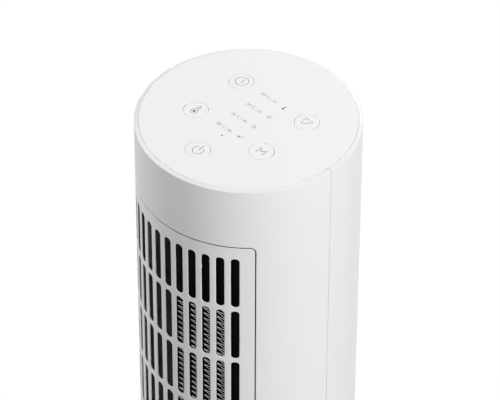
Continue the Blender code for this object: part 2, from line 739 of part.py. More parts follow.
def build_swivel():
    flange_top = BASE_TOP - BASE_WALL - FIT_GAP
    flange_bottom = flange_top - POST_FLANGE_THICKNESS
    post_top = RETAINING_RING_TOP + POST_TIP_HEIGHT
    profile = [(POST_BORE_RADIUS, post_top), (POST_RADIUS, post_top), (POST_RADIUS, flange_top),
               (POST_FLANGE_RADIUS, flange_top), (POST_FLANGE_RADIUS, flange_bottom),
               (POST_BORE_RADIUS, flange_bottom)]
    turned("swivel_post", profile, POST_FACETS, "steel")

    glide = ring_profile(GLIDE_RING_INNER_RADIUS, GLIDE_RING_OUTER_RADIUS, BASE_TOP + FIT_GAP,
                         TOWER_BOTTOM - FIT_GAP)
    turned("glide_ring", glide, HIDDEN_FACETS, "cream_plastic")
    bore = POST_RADIUS + FIT_GAP
    sun = gear_loop(SUN_TEETH, outside_only=SUN_SECTOR_TEETH)
    gear = plate([sun, circle(bore, POST_FACETS)], GEAR_BOTTOM, GEAR_TOP)
    add_part("swing_gear", gear, "cream_plastic")
    retainer = ring_profile(bore, bore + RETAINING_RING_WIDTH, GEAR_TOP + FIT_GAP, RETAINING_RING_TOP)
    turned("retaining_ring", retainer, POST_FACETS, "steel")


def build_floor(swing):
    hole = POST_RADIUS + 2 * FIT_GAP
    collar = hole + FLOOR_COLLAR_WALL
    pan = FLANGE_RADIUS * FACET_SHRINK - FIT_GAP
    ring_top = FLOOR_RING_BOTTOM + FLOOR_THICKNESS
    profile = [(hole, COLLAR_TOP), (collar, COLLAR_TOP), (collar, FLOOR_TOP),
               (pan - FLOOR_THICKNESS, FLOOR_TOP), (pan - FLOOR_THICKNESS, ring_top),
               (FITTED_RADIUS, ring_top), (FITTED_RADIUS, FLOOR_RING_BOTTOM), (pan, FLOOR_RING_BOTTOM),
               (pan, TOWER_BOTTOM), (hole, TOWER_BOTTOM)]
    floor = turned("tower_floor", profile, HIDDEN_FACETS, "grey_plastic", axis=swing)
    places = ring_places(FLOOR_SCREW_COUNT, INNER_RADIUS - HOUSING_FLANGE_WIDTH / 2)
    holes = bmesh.new()
    for centre in places:
        add_cylinder(holes, SCREW_SHANK_RADIUS + SCREW_HOLE_CLEARANCE, FLOOR_RING_BOTTOM - CUT_OVERRUN,
                     ring_top + CUT_OVERRUN, SCREW_FACETS, centre)
    cut(floor, "floor_screw_holes", holes)
    posts = bmesh.new()
    for x in (-SWING_EAR_REACH, SWING_EAR_REACH):
        add_cylinder(posts, SWING_POST_RADIUS, FLOOR_TOP - FLOOR_THICKNESS / 2,
                     SWING_MOTOR_BOTTOM + SWING_EAR_THICKNESS - FIT_GAP, SMALL_FACETS,
                     (x, PINION_Y + SWING_MOTOR_OFFSET))
    unite(floor, "swing_motor_posts", posts)
    seat_height = TOWER_BOTTOM + HOUSING_FLANGE_HEIGHT / 2
    for number, centre in enumerate(places, 1):
        add_screw(f"floor_screw_{number}", centre, seat_height, ring_top - SCREW_POINT_SET_BACK, swing)


def screw_pockets():
    """Clearance holes and head pockets in the housings' bottom flange."""
    pockets = bmesh.new()
    pocket_top = TOWER_BOTTOM + HOUSING_FLANGE_HEIGHT / 2 + FIT_GAP
    for centre in ring_places(FLOOR_SCREW_COUNT, INNER_RADIUS - HOUSING_FLANGE_WIDTH / 2):
        profile = [(0, FLANGE_TOP + CUT_OVERRUN),
                   (SCREW_SHANK_RADIUS + SCREW_HOLE_CLEARANCE, FLANGE_TOP + CUT_OVERRUN),
                   (SCREW_SHANK_RADIUS + SCREW_HOLE_CLEARANCE, pocket_top),
                   (SCREW_HEAD_RADIUS + SCREW_HOLE_CLEARANCE, pocket_top),
                   (SCREW_HEAD_RADIUS + SCREW_HOLE_CLEARANCE, TOWER_BOTTOM - CUT_OVERRUN),
                   (0, TOWER_BOTTOM - CUT_OVERRUN)]
        verts = [pockets.verts.new((centre[0] + r, centre[1], z)) for r, z in profile]
        edges = [pockets.edges.new(pair) for pair in zip(verts, verts[1:])]
        bmesh.ops.spin(pockets, geom=edges + verts, cent=(*centre, 0), axis=(0, 0, 1), dvec=(0, 0, 0),
                       angle=2 * math.pi, steps=SCREW_FACETS, use_merge=True, use_duplicate=False)
    bmesh.ops.remove_doubles(pockets, verts=pockets.verts, dist=WELD_DISTANCE)
    bmesh.ops.recalc_face_normals(pockets, faces=pockets.faces)
    return pockets


def window_cutter(bottom, top, centre_deg):
    """The opening in a housing that takes a grille panel with its seam."""
    half = math.radians(GRILLE_HALF_ANGLE_DEG) * BODY_RADIUS + PANEL_SEAM
    loop = rounded_rectangle(-half, half, bottom - PANEL_SEAM, top + PANEL_SEAM,
                             GRILLE_CORNER_RADIUS + PANEL_SEAM, PANEL_CORNER_STEPS)
    thickness = HOUSING_WALL + 2 * CUT_OVERRUN
    angles = even_angles(math.degrees(half / BODY_RADIUS))
    return bend(flat_shape([loop], thickness), angles, thickness, BODY_RADIUS + CUT_OVERRUN, centre_deg)


def housing_profile():
    rim_inner = BODY_RADIUS - RIM_WIDTH
    ledge_top = PANEL_BOTTOM - FIT_GAP
    ledge_bottom = ledge_top - LEDGE_THICKNESS
    return [(BODY_RADIUS, TOWER_BOTTOM + BOTTOM_CHAMFER), (BODY_RADIUS, TOTAL_HEIGHT - RIM_HEIGHT),
            (rim_inner, TOTAL_HEIGHT), (rim_inner, ledge_top), (rim_inner - LEDGE_WIDTH, ledge_top),
            (rim_inner - LEDGE_WIDTH, ledge_bottom), (INNER_RADIUS, ledge_bottom - LEDGE_WIDTH),
            (INNER_RADIUS, FLANGE_TOP), (FLANGE_RADIUS, FLANGE_TOP), (FLANGE_RADIUS, TOWER_BOTTOM),
            (BODY_RADIUS - BOTTOM_CHAMFER, TOWER_BOTTOM)]


def build_housings(swing):
    seam_deg = math.degrees(SEAM_GAP / 2 / BODY_RADIUS)
    half_facets = BODY_FACETS // 2
    windows = {"front_housing": (GRILLE_BOTTOM, GRILLE_TOP, 0.0), "rear_housing": (*rear_span(), 180.0)}
    for name, (bottom, top, centre_deg) in windows.items():
        shell = half_turned(housing_profile(), centre_deg - 90 + seam_deg, centre_deg + 90 - seam_deg,
                            half_facets)
        housing = add_part(name, shell, "white_shell", axis=swing)
        cut(housing, name + "_window", window_cutter(bottom, top, centre_deg))
        cut(housing, name + "_screw_pockets", screw_pockets())


def rear_span():
    return DUCT_BOTTOM + REAR_GRILLE_END_GAP, DUCT_TOP - REAR_GRILLE_END_GAP


def slotted_panel(bottom, top, columns, rows, pitch_deg, slot_width, bar_height, end_margin, centre_deg):
    """A curved grille: slots in columns and rows, with a facet edge along each side of each slot."""
    half = math.radians(GRILLE_HALF_ANGLE_DEG)
    half_slot = slot_width / 2 / BODY_RADIUS
    slot_height = (top - bottom - 2 * end_margin - (rows - 1) * bar_height) / rows
    centres = [math.radians(pitch_deg) * (k - (columns - 1) / 2) for k in range(columns)]
    loops = [rounded_rectangle(-half * BODY_RADIUS, half * BODY_RADIUS, bottom, top,
                               GRILLE_CORNER_RADIUS, PANEL_CORNER_STEPS)]
    for centre in centres:
        for row in range(rows):
            low = bottom + end_margin + row * (slot_height + bar_height)
            left = (centre - half_slot) * BODY_RADIUS
            loops.append(rounded_rectangle(left, left + slot_width, low, low + slot_height,
                                           min(SLOT_CORNER_RADIUS, slot_width / 2 - FIT_GAP),
                                           SLOT_CORNER_STEPS))
    angles = [-half, (centres[0] - half_slot - half) / 2]
    for centre in centres:
        angles += [centre - half_slot, centre + half_slot]
    angles += [-angles[1], half]
    return bend(flat_shape(loops, GRILLE_THICKNESS), angles, GRILLE_THICKNESS, BODY_RADIUS, centre_deg)


def build_grilles(swing):
    front = slotted_panel(GRILLE_BOTTOM, GRILLE_TOP, SLOT_COLUMNS, SLOT_ROWS, SLOT_COLUMN_PITCH_DEG,
                          SLOT_WIDTH, SLOT_BAR_HEIGHT, GRILLE_END_MARGIN, 0.0)
    add_part("front_grille", front, "white_shell", axis=swing)
    bottom, top = rear_span()
    rear = slotted_panel(bottom, top, REAR_SLOT_COLUMNS, REAR_SLOT_ROWS, REAR_SLOT_COLUMN_PITCH_DEG,
                         REAR_SLOT_WIDTH, REAR_BAR_HEIGHT, REAR_END_MARGIN, 180.0)
    add_part("rear_grille", rear, "white_shell", axis=swing)


def build_filter(swing):
    """Frame of the dust net, close behind the rear grille."""
    half = math.radians(FILTER_HALF_ANGLE_DEG) * BODY_RADIUS
    width = (2 * half - (FILTER_COLUMNS + 1) * FILTER_BAR) / FILTER_COLUMNS
    height = (DUCT_TOP - DUCT_BOTTOM - (FILTER_ROWS + 1) * FILTER_BAR) / FILTER_ROWS
    loops = [[(-half, DUCT_BOTTOM), (half, DUCT_BOTTOM), (half, DUCT_TOP), (-half, DUCT_TOP)]]
    for column in range(FILTER_COLUMNS):
        for row in range(FILTER_ROWS):
            left = -half + FILTER_BAR + column * (width + FILTER_BAR)
            low = DUCT_BOTTOM + FILTER_BAR + row * (height + FILTER_BAR)
            loops.append([(left, low), (left + width, low), (left + width, low + height),
                          (left, low + height)])
    net = bend(flat_shape(loops, FILTER_THICKNESS), even_angles(FILTER_HALF_ANGLE_DEG, FILTER_STEP_DEG),
               FILTER_THICKNESS, INNER_RADIUS * FACET_SHRINK - FILTER_STANDOFF, 180.0)
    add_part("dust_filter", net, "net", axis=swing)


def build_baffle(swing):
    half = math.radians(BAFFLE_HALF_ANGLE_DEG) * BODY_RADIUS
    window = math.radians(WINDOW_HALF_ANGLE_DEG) * BODY_RADIUS
    bottom, top = GRILLE_BOTTOM + BAFFLE_END_MARGIN, GRILLE_TOP - BAFFLE_END_MARGIN
    loops = [[(-half, bottom), (half, bottom), (half, top), (-half, top)],
             [(-window, WINDOW_BOTTOM), (window, WINDOW_BOTTOM), (window, WINDOW_TOP), (-window, WINDOW_TOP)]]
    sheet = bend(flat_shape(loops, BAFFLE_THICKNESS), even_angles(BAFFLE_HALF_ANGLE_DEG), BAFFLE_THICKNESS,
                 BAFFLE_OUTER_RADIUS)
    add_part("outlet_baffle", sheet, "black_plastic", axis=swing)


def build_funnel(swing):
    """Four walls that narrow from the baffle's window to the duct."""
    window = math.radians(WINDOW_HALF_ANGLE_DEG)
    front_half = BAFFLE_SEAT_RADIUS * math.sin(window)
    front_y = -BAFFLE_SEAT_RADIUS * math.cos(window)
    back_y = DUCT_FRONT_Y - FIT_GAP
    side = math.asin((front_half + DUCT_WALL) / BAFFLE_SEAT_RADIUS)
    arc = [-side + 2 * side * k / FUNNEL_STEPS for k in range(FUNNEL_STEPS + 1)]
    outside = [(BAFFLE_SEAT_RADIUS * math.sin(a), -BAFFLE_SEAT_RADIUS * math.cos(a)) for a in arc]
    outside += [(DUCT_HALF_WIDTH + DUCT_WALL, back_y), (-DUCT_HALF_WIDTH - DUCT_WALL, back_y)]
    funnel = add_part("outlet_funnel", plate([outside], WINDOW_BOTTOM - DUCT_WALL, WINDOW_TOP + DUCT_WALL),
                      "black_plastic", axis=swing)
    narrowing = (front_half - DUCT_HALF_WIDTH) / (back_y - front_y)
    wide = front_half + narrowing * CUT_OVERRUN
    narrow = DUCT_HALF_WIDTH - narrowing * CUT_OVERRUN
    ahead = -BAFFLE_SEAT_RADIUS - CUT_OVERRUN
    inside = [(-wide, ahead), (wide, ahead), (wide, front_y - CUT_OVERRUN), (narrow, back_y + CUT_OVERRUN),
              (-narrow, back_y + CUT_OVERRUN), (-wide, front_y - CUT_OVERRUN)]
    cut(funnel, "funnel_bore", plate([inside], WINDOW_BOTTOM, WINDOW_TOP))


def bulkhead_loop():
    """Disc that fits the housings and gives way to the baffle at the front."""
    points = []
    step = 360.0 / BODY_FACETS
    for k in range(BODY_FACETS):
        from_front = (k + 0.5) * step - 180.0
        inside_baffle = abs(from_front) < BAFFLE_HALF_ANGLE_DEG + step
        radius = BAFFLE_SEAT_RADIUS if inside_baffle else FITTED_RADIUS
        a = math.radians(from_front)
        points.append((radius * math.sin(a), -radius * math.cos(a)))
    return points


def cable_hole():
    return circle(PANEL_CABLE_RADIUS + LEAD_HOLE_CLEARANCE, SMALL_FACETS, (PANEL_CABLE_X, PANEL_CABLE_Y))


def build_bulkheads(swing):
    centre = (IMPELLER_X, IMPELLER_CENTRE_Y)
    half_span = TUBE_PITCH * (TERMINAL_COUNT - 1) / 2 + TERMINAL_WIDTH / 2 + LEAD_HOLE_CLEARANCE
    half_depth = HEATER_DEPTH / 2 - LEAD_HOLE_CLEARANCE
    terminal_hole = [(x, HEATER_CENTRE_Y + y) for x, y in
                     ((-half_span, -half_depth), (half_span, -half_depth), (half_span, half_depth),
                      (-half_span, half_depth))]
    shaft_hole = circle(SHAFT_RADIUS + LEAD_HOLE_CLEARANCE, SHAFT_FACETS, centre)
    lower = plate([bulkhead_loop(), shaft_hole, terminal_hole, cable_hole()], LOWER_BULKHEAD_BOTTOM,
                  LOWER_BULKHEAD_TOP)
    add_part("lower_bulkhead", lower, "black_plastic", axis=swing)
    bearing_hole = circle(clear_of(BEARING_RADIUS, POST_FACETS), POST_FACETS, centre)
    upper = plate([bulkhead_loop(), bearing_hole, cable_hole()], UPPER_BULKHEAD_BOTTOM, UPPER_BULKHEAD_TOP)
    add_part("upper_bulkhead", upper, "black_plastic", axis=swing)
    bore = SHAFT_RADIUS + SHAFT_CLEARANCE
    flange_bottom = UPPER_BULKHEAD_TOP + FIT_GAP
    profile = [(bore, flange_bottom + BEARING_FLANGE_THICKNESS),
               (BEARING_FLANGE_RADIUS, flange_bottom + BEARING_FLANGE_THICKNESS),
               (BEARING_FLANGE_RADIUS, flange_bottom), (BEARING_RADIUS, flange_bottom),
               (BEARING_RADIUS, UPPER_BULKHEAD_BOTTOM - BEARING_DROP),
               (bore, UPPER_BULKHEAD_BOTTOM - BEARING_DROP)]
    turned("upper_bearing", profile, POST_FACETS, "cream_plastic", at=(*centre, 0), axis=swing)


def build_duct(swing):
    """Spiral wall and tongue wall of the cross-flow fan, seen from above as two lines."""
    spiral = [(DUCT_HALF_WIDTH, DUCT_FRONT_Y)]
    for k in range(VOLUTE_STEPS + 1):
        share = k / VOLUTE_STEPS
        clearance = VOLUTE_OUTLET_CLEARANCE + share * (VOLUTE_START_CLEARANCE - VOLUTE_OUTLET_CLEARANCE)
        a = math.radians(VOLUTE_WRAP_DEG * share)
        reach = IMPELLER_RADIUS + clearance
        spiral.append((IMPELLER_X + reach * math.cos(a), IMPELLER_CENTRE_Y + reach * math.sin(a)))
    standing_wall("volute_wall", spiral, DUCT_BOTTOM, DUCT_TOP, -1, swing)

    reach = IMPELLER_RADIUS + TONGUE_CLEARANCE
    across = min(DUCT_HALF_WIDTH + IMPELLER_X, reach)
    first = math.acos(across / reach)
    lip = min(math.radians(TONGUE_LIP_DEG), first)
    tongue = [(-DUCT_HALF_WIDTH, DUCT_FRONT_Y)]
    for k in range(TONGUE_STEPS + 1):
        a = first - lip * k / TONGUE_STEPS
        tongue.append((IMPELLER_X - reach * math.cos(a), IMPELLER_CENTRE_Y - reach * math.sin(a)))
    standing_wall("tongue_wall", tongue, DUCT_BOTTOM, DUCT_TOP, 1, swing)


def build_heater(swing):
    front, back = -HEATER_FRONT, -HEATER_FRONT + HEATER_DEPTH
    add_part("heater_tubes", heater_grid(), "aluminium", axis=swing)
    for row in range(FIN_ROWS):
        x = (row - (FIN_ROWS - 1) / 2) * TUBE_PITCH
        add_part(f"heater_fin_{row + 1}", folded_fin(), "aluminium", at=(x, HEATER_CENTRE_Y, 0), axis=swing)
    half = DUCT_HALF_WIDTH - FIT_GAP
    spans = {"heater_frame_bottom": (LOWER_FRAME_BOTTOM, HEATER_BOTTOM - FIT_GAP),
             "heater_frame_top": (HEATER_TOP + FIT_GAP, UPPER_FRAME_TOP)}
    for name, (bottom, top) in spans.items():
        frame = bmesh.new()
        add_box(frame, (-half, front, bottom), (half, back, top))
        add_part(name, frame, "black_plastic", axis=swing)
    cutout = bmesh.new()
    height = (HEATER_TOP + UPPER_FRAME_TOP) / 2
    add_lying_cylinder(cutout, CUTOUT_RADIUS, back + FIT_GAP, back + FIT_GAP + CUTOUT_DEPTH, SHAFT_FACETS,
                       (0, height))
    add_part("thermal_cutout", cutout, "steel", axis=swing)


def terminal_places():
    return [(k - (TERMINAL_COUNT - 1) / 2) * TUBE_PITCH for k in range(TERMINAL_COUNT)]


def stand_up(bm, centre_y=0.0):
    """Turn a flat shape upright, so that its y becomes the height."""
    for vert in bm.verts:
        vert.co = (vert.co.x, centre_y - vert.co.z, vert.co.y)
    bmesh.ops.recalc_face_normals(bm, faces=bm.faces)
    return bm


def heater_grid():
    """Flat tubes side by side, tied to each other by a header bar at each end."""
    half = (FIN_ROWS * TUBE_PITCH + TUBE_THICKNESS) / 2
    loops = [[(-half, HEATER_BOTTOM), (half, HEATER_BOTTOM), (half, HEATER_TOP), (-half, HEATER_TOP)]]
    for row in range(FIN_ROWS):
        left = -half + TUBE_THICKNESS + row * TUBE_PITCH
        right = left + TUBE_PITCH - TUBE_THICKNESS
        low, high = HEATER_BOTTOM + TUBE_THICKNESS, HEATER_TOP - TUBE_THICKNESS
        loops.append([(left, low), (right, low), (right, high), (left, high)])
    return stand_up(flat_shape(loops, HEATER_DEPTH), HEATER_CENTRE_Y)


def folded_fin():
    """One upright folded strip that fills the space between two tubes."""
    reach = TUBE_PITCH / 2 - TUBE_THICKNESS / 2 - FIT_GAP
    bottom = HEATER_BOTTOM + TUBE_THICKNESS + FIT_GAP
    height = HEATER_TOP - TUBE_THICKNESS - FIT_GAP - bottom
    folds = max(2, round(height / (FIN_PITCH / 2)))
    left = [(reach - FIN_ACROSS if k % 2 else -reach, bottom + k * height / folds) for k in range(folds + 1)]
    right = [(x + FIN_ACROSS, z) for x, z in left]
    return stand_up(flat_shape([right + left[::-1]], HEATER_DEPTH))


def blade_loop(turn):
    """One blade in plan: a thin strip that sweeps forward as it goes outwards."""
    outer = IMPELLER_RADIUS - FIT_GAP
    inner = outer - BLADE_CHORD
    sides = []
    for offset in (0.0, BLADE_THICKNESS):
        side = []
        for k in range(BLADE_STEPS + 1):
            share = k / BLADE_STEPS
            radius = inner + (outer - inner) * share
            a = turn + math.radians(BLADE_SWEEP_DEG) * share ** 2 + offset / radius
            side.append((radius * math.cos(a), radius * math.sin(a)))
        sides.append(side)
    return sides[0] + sides[1][::-1]


def build_impeller(wheel_axis):
    """A wheel of full-length blades, end discs with hubs and middle rings, on one steel shaft."""
    centre = (IMPELLER_X, IMPELLER_CENTRE_Y, 0)
    bore = SHAFT_RADIUS + SHAFT_CLEARANCE
    discs = bmesh.new()
    for outer_face, inward in ((IMPELLER_BOTTOM, 1), (IMPELLER_TOP, -1)):
        disc_face = outer_face + inward * IMPELLER_DISC_THICKNESS
        hub_end = outer_face + inward * IMPELLER_HUB_LENGTH
        add_turned(discs, [(bore, outer_face), (IMPELLER_RADIUS, outer_face), (IMPELLER_RADIUS, disc_face),
                           (IMPELLER_HUB_RADIUS, disc_face), (IMPELLER_HUB_RADIUS, hub_end),
                           (bore, hub_end)])
    ring_outer = IMPELLER_RADIUS - BLADE_CHORD / 2
    for k in range(MIDDLE_RING_COUNT):
        height = IMPELLER_BOTTOM + (IMPELLER_TOP - IMPELLER_BOTTOM) * (k + 1) / (MIDDLE_RING_COUNT + 1)
        add_turned(discs, ring_profile(ring_outer - BLADE_CHORD, ring_outer,
                                       height - IMPELLER_DISC_THICKNESS / 2,
                                       height + IMPELLER_DISC_THICKNESS / 2))
    bmesh.ops.recalc_face_normals(discs, faces=discs.faces)
    wheel = add_part("impeller", discs, "black_plastic", centre, wheel_axis)
    loops = [blade_loop(2 * math.pi * k / BLADE_COUNT) for k in range(BLADE_COUNT)]
    unite(wheel, "impeller_blades", plate(loops, IMPELLER_BOTTOM + IMPELLER_DISC_THICKNESS / 2,
                                          IMPELLER_TOP - IMPELLER_DISC_THICKNESS / 2), at=centre)

    shaft = bmesh.new()
    shaft_top = UPPER_BULKHEAD_TOP + FIT_GAP + BEARING_FLANGE_THICKNESS + SHAFT_TOP_REACH
    add_cylinder(shaft, SHAFT_RADIUS, MOTOR_TOP - MOTOR_SHAFT_INSIDE, shaft_top, SHAFT_FACETS)
    add_part("fan_shaft", shaft, "steel", centre, wheel_axis)


def add_turned(bm, profile):
    """Add a turned ring to a mesh of several shapes."""
    verts = [bm.verts.new((radius, 0, height)) for radius, height in profile]
    edges = [bm.edges.new(pair) for pair in zip(verts, verts[1:] + verts[:1])]
    bmesh.ops.spin(bm, geom=edges + verts, cent=(0, 0, 0), axis=(0, 0, 1), dvec=(0, 0, 0),
                   angle=2 * math.pi, steps=IMPELLER_FACETS, use_merge=True, use_duplicate=False)
    bmesh.ops.remove_doubles(bm, verts=bm.verts, dist=WELD_DISTANCE)


def build_fan_motor(swing):
    centre = (IMPELLER_X, IMPELLER_CENTRE_Y, 0)
    bore = SHAFT_RADIUS + SHAFT_CLEARANCE
    boss_top = MOTOR_TOP + MOTOR_BOSS_HEIGHT
    profile = [(bore, boss_top), (MOTOR_BOSS_RADIUS, boss_top), (MOTOR_BOSS_RADIUS, MOTOR_TOP),
               (MOTOR_RADIUS, MOTOR_TOP), (MOTOR_RADIUS, MOTOR_BOTTOM), (bore, MOTOR_BOTTOM)]
    turned("fan_motor", profile, IMPELLER_FACETS, "steel", at=centre, axis=swing)
    inside = MOTOR_RADIUS + FIT_GAP
    outside = inside + MOTOR_CUP_WALL
    lip_top = MOTOR_BOTTOM - FIT_GAP
    lip_bottom = lip_top - MOTOR_CUP_WALL
    lip_inner = MOTOR_RADIUS - MOTOR_CUP_LIP
    cup = [(inside, boss_top), (outside, boss_top), (outside, lip_bottom), (lip_inner, lip_bottom),
           (lip_inner, lip_top), (inside, lip_top)]
    turned("motor_cup", cup, IMPELLER_FACETS, "grey_plastic", at=centre, axis=swing)


def build_swing_drive(swing, pinion_axis):
    half_pitch_deg = 180.0 / PINION_TEETH
    loop = gear_loop(PINION_TEETH, first_deg=-90 + half_pitch_deg)
    gear = plate([loop], GEAR_BOTTOM, GEAR_TOP)
    pinion = add_part("swing_pinion", gear, "cream_plastic", (0, PINION_Y, 0), pinion_axis)
    spindle = bmesh.new()
    add_cylinder(spindle, PINION_HUB_RADIUS, FLOOR_TOP + FIT_GAP, SWING_MOTOR_BOTTOM - FIT_GAP, SMALL_FACETS)
    unite(pinion, "pinion_spindle", spindle, at=(0, PINION_Y, 0))

    motor_y = PINION_Y + SWING_MOTOR_OFFSET
    ear_half = SWING_EAR_REACH + SWING_EAR_WIDTH / 2
    body = bmesh.new()
    add_cylinder(body, SWING_MOTOR_RADIUS, SWING_MOTOR_BOTTOM, SWING_MOTOR_BOTTOM + SWING_MOTOR_HEIGHT,
                 POST_FACETS, (0, motor_y))
    motor = add_part("swing_motor", body, "steel", axis=swing)
    ears = bmesh.new()
    add_box(ears, (-ear_half, motor_y - SWING_EAR_WIDTH / 2, SWING_MOTOR_BOTTOM + SWING_EAR_THICKNESS),
            (ear_half, motor_y + SWING_EAR_WIDTH / 2, SWING_MOTOR_BOTTOM + 2 * SWING_EAR_THICKNESS))
    unite(motor, "swing_motor_ears", ears)


def build_power_board(swing):
    bracket = bmesh.new()
    add_box(bracket, (-BRACKET_WIDTH / 2, -BRACKET_FRONT, BRACKET_BOTTOM),
            (BRACKET_WIDTH / 2, -BRACKET_FRONT + BRACKET_THICKNESS, BRACKET_TOP))
    add_part("board_bracket", bracket, "grey_plastic", axis=swing)
    board_top = BRACKET_TOP - FIT_GAP
    half = POWER_BOARD_WIDTH / 2
    sheet = bmesh.new()
    add_box(sheet, (-half, POWER_BOARD_FRONT_Y, board_top - POWER_BOARD_HEIGHT),
            (half, POWER_BOARD_BACK_Y, board_top))
    board = add_part("power_board", sheet, "circuit_board", axis=swing)

    parts = bmesh.new()
    block_bottom = board_top - TERMINAL_BLOCK_HEIGHT
    add_box(parts, (-TERMINAL_BLOCK_WIDTH / 2, COMPONENT_BACK_Y - TERMINAL_BLOCK_DEPTH, block_bottom),
            (TERMINAL_BLOCK_WIDTH / 2, COMPONENT_BACK_Y, board_top))
    low = board_top - POWER_BOARD_HEIGHT + BOARD_THICKNESS
    add_box(parts, (-TRANSFORMER_WIDTH / 2, COMPONENT_BACK_Y - TRANSFORMER_DEPTH, low),
            (TRANSFORMER_WIDTH / 2, COMPONENT_BACK_Y, low + TRANSFORMER_HEIGHT))
    relay_x = half - RELAY_WIDTH - BOARD_THICKNESS
    for left in (relay_x, -relay_x - RELAY_WIDTH):
        add_box(parts, (left, COMPONENT_BACK_Y - RELAY_DEPTH, low),
                (left + RELAY_WIDTH, COMPONENT_BACK_Y, low + RELAY_HEIGHT))
    capacitor_x = (TRANSFORMER_WIDTH / 2 + relay_x) / 2
    capacitor_z = low + RELAY_HEIGHT + CAPACITOR_RADIUS + BOARD_THICKNESS
    for x in (-capacitor_x, capacitor_x):
        add_lying_cylinder(parts, CAPACITOR_RADIUS, COMPONENT_BACK_Y, COMPONENT_BACK_Y - CAPACITOR_LENGTH,
                           SCREW_FACETS, (x, capacitor_z))
    plug_x = connector_x()
    add_box(parts, (plug_x - CONNECTOR_WIDTH / 2, COMPONENT_BACK_Y - CONNECTOR_WIDTH, block_bottom),
            (plug_x + CONNECTOR_WIDTH / 2, COMPONENT_BACK_Y, board_top))
    unite(board, "power_components", parts)

    tilt = bmesh.new()
    tilt_half = TILT_SWITCH_SIZE / 2
    add_box(tilt, (TILT_SWITCH_X - tilt_half, TILT_SWITCH_Y - tilt_half, BRACKET_BOTTOM),
            (TILT_SWITCH_X + tilt_half, TILT_SWITCH_Y + tilt_half, BRACKET_BOTTOM + TILT_SWITCH_HEIGHT))
    add_part("tilt_switch", tilt, "grey_plastic", axis=swing)


def connector_x():
    return -(TERMINAL_BLOCK_WIDTH / 2 + POWER_BOARD_WIDTH / 2) / 2


def build_leads(swing):
    """The heater leads and the long cable of the control board."""
    low = BRACKET_TOP
    high = LOWER_FRAME_BOTTOM - FIT_GAP
    block_y = COMPONENT_BACK_Y - TERMINAL_BLOCK_DEPTH / 2
    bend_height = (high - low) * LEAD_STRAIGHT_SHARE
    for number, x in enumerate(terminal_places(), 1):
        route = [(x, HEATER_CENTRE_Y, high), (x, HEATER_CENTRE_Y, high - bend_height),
                 (x, block_y, low + bend_height), (x, block_y, low)]
        path = rounded_path(route, LEAD_BEND_REACH, LEAD_STEPS)
        add_part(f"heater_lead_{number}", tube_shape(path, LEAD_RADIUS), "rubber", axis=swing)

    plug_x, plug_y = connector_x(), COMPONENT_BACK_Y - CONNECTOR_WIDTH / 2
    route = [(PANEL_CABLE_X, PANEL_CABLE_Y, BOARD_BOTTOM - FIT_GAP),
             (PANEL_CABLE_X, PANEL_CABLE_Y, LOWER_BULKHEAD_BOTTOM - LEAD_BEND_REACH),
             (plug_x, plug_y, low + bend_height), (plug_x, plug_y, low)]
    path = rounded_path(route, LEAD_BEND_REACH, LEAD_STEPS)
    add_part("panel_cable", tube_shape(path, PANEL_CABLE_RADIUS), "rubber", axis=swing)


def build_top_panel(swing):
    holes = [circle(KEY_RADIUS + KEY_GROOVE, KEY_FACETS, place) for place in KEYS.values()]
    panel = plate([circle(PANEL_RADIUS, BODY_FACETS), *holes], PANEL_BOTTOM, TOTAL_HEIGHT)
    add_part("top_panel", panel, "white_gloss", axis=swing)

    guides = [circle(clear_of(KEY_STEM_RADIUS, SMALL_FACETS), SMALL_FACETS, place) for place in KEYS.values()]
    window = guide_outline(2 * FIT_GAP)
    carrier = add_part("key_carrier", plate([circle(CARRIER_RADIUS, HIDDEN_FACETS), window, *guides],
                                            CARRIER_BOTTOM, CARRIER_TOP), "grey_plastic", axis=swing)
    posts = bmesh.new()
    for centre in ring_places(CARRIER_POST_COUNT, CARRIER_RADIUS - CARRIER_POST_INSET):
        add_cylinder(posts, CARRIER_POST_RADIUS, CARRIER_BOTTOM + CARRIER_THICKNESS / 2,
                     PANEL_BOTTOM - FIT_GAP, SMALL_FACETS, centre)
    unite(carrier, "carrier_posts", posts)


def guide_outline(margin):
    """Outline of the light guide, or of the window round it."""
    half = GUIDE_COLUMN_X + GUIDE_MARGIN + margin
    front = GUIDE_FRONT_Y - GUIDE_MARGIN - margin
    back = GUIDE_FRONT_Y + (GUIDE_ROWS - 1) * GUIDE_ROW_PITCH + GUIDE_MARGIN + margin
    return [(-half, front), (half, front), (half, back), (-half, back)]


def build_keys(swing):
    """Five caps with a flange that stops them under the panel and a stem that reaches the switch."""
    flange_radius = KEY_RADIUS + KEY_FLANGE_WIDTH
    profile = [(0, TOTAL_HEIGHT), (KEY_RADIUS, TOTAL_HEIGHT), (KEY_RADIUS, KEY_FLANGE_TOP),
               (flange_radius, KEY_FLANGE_TOP), (flange_radius, KEY_FLANGE_BOTTOM),
               (KEY_STEM_RADIUS, KEY_FLANGE_BOTTOM), (KEY_STEM_RADIUS, KEY_STEM_END), (0, KEY_STEM_END)]
    local = [(radius, height - TOTAL_HEIGHT) for radius, height in profile]
    for name, (x, y) in KEYS.items():
        turned(name, local, KEY_FACETS, "white_gloss", at=(x, y, TOTAL_HEIGHT), axis=swing)


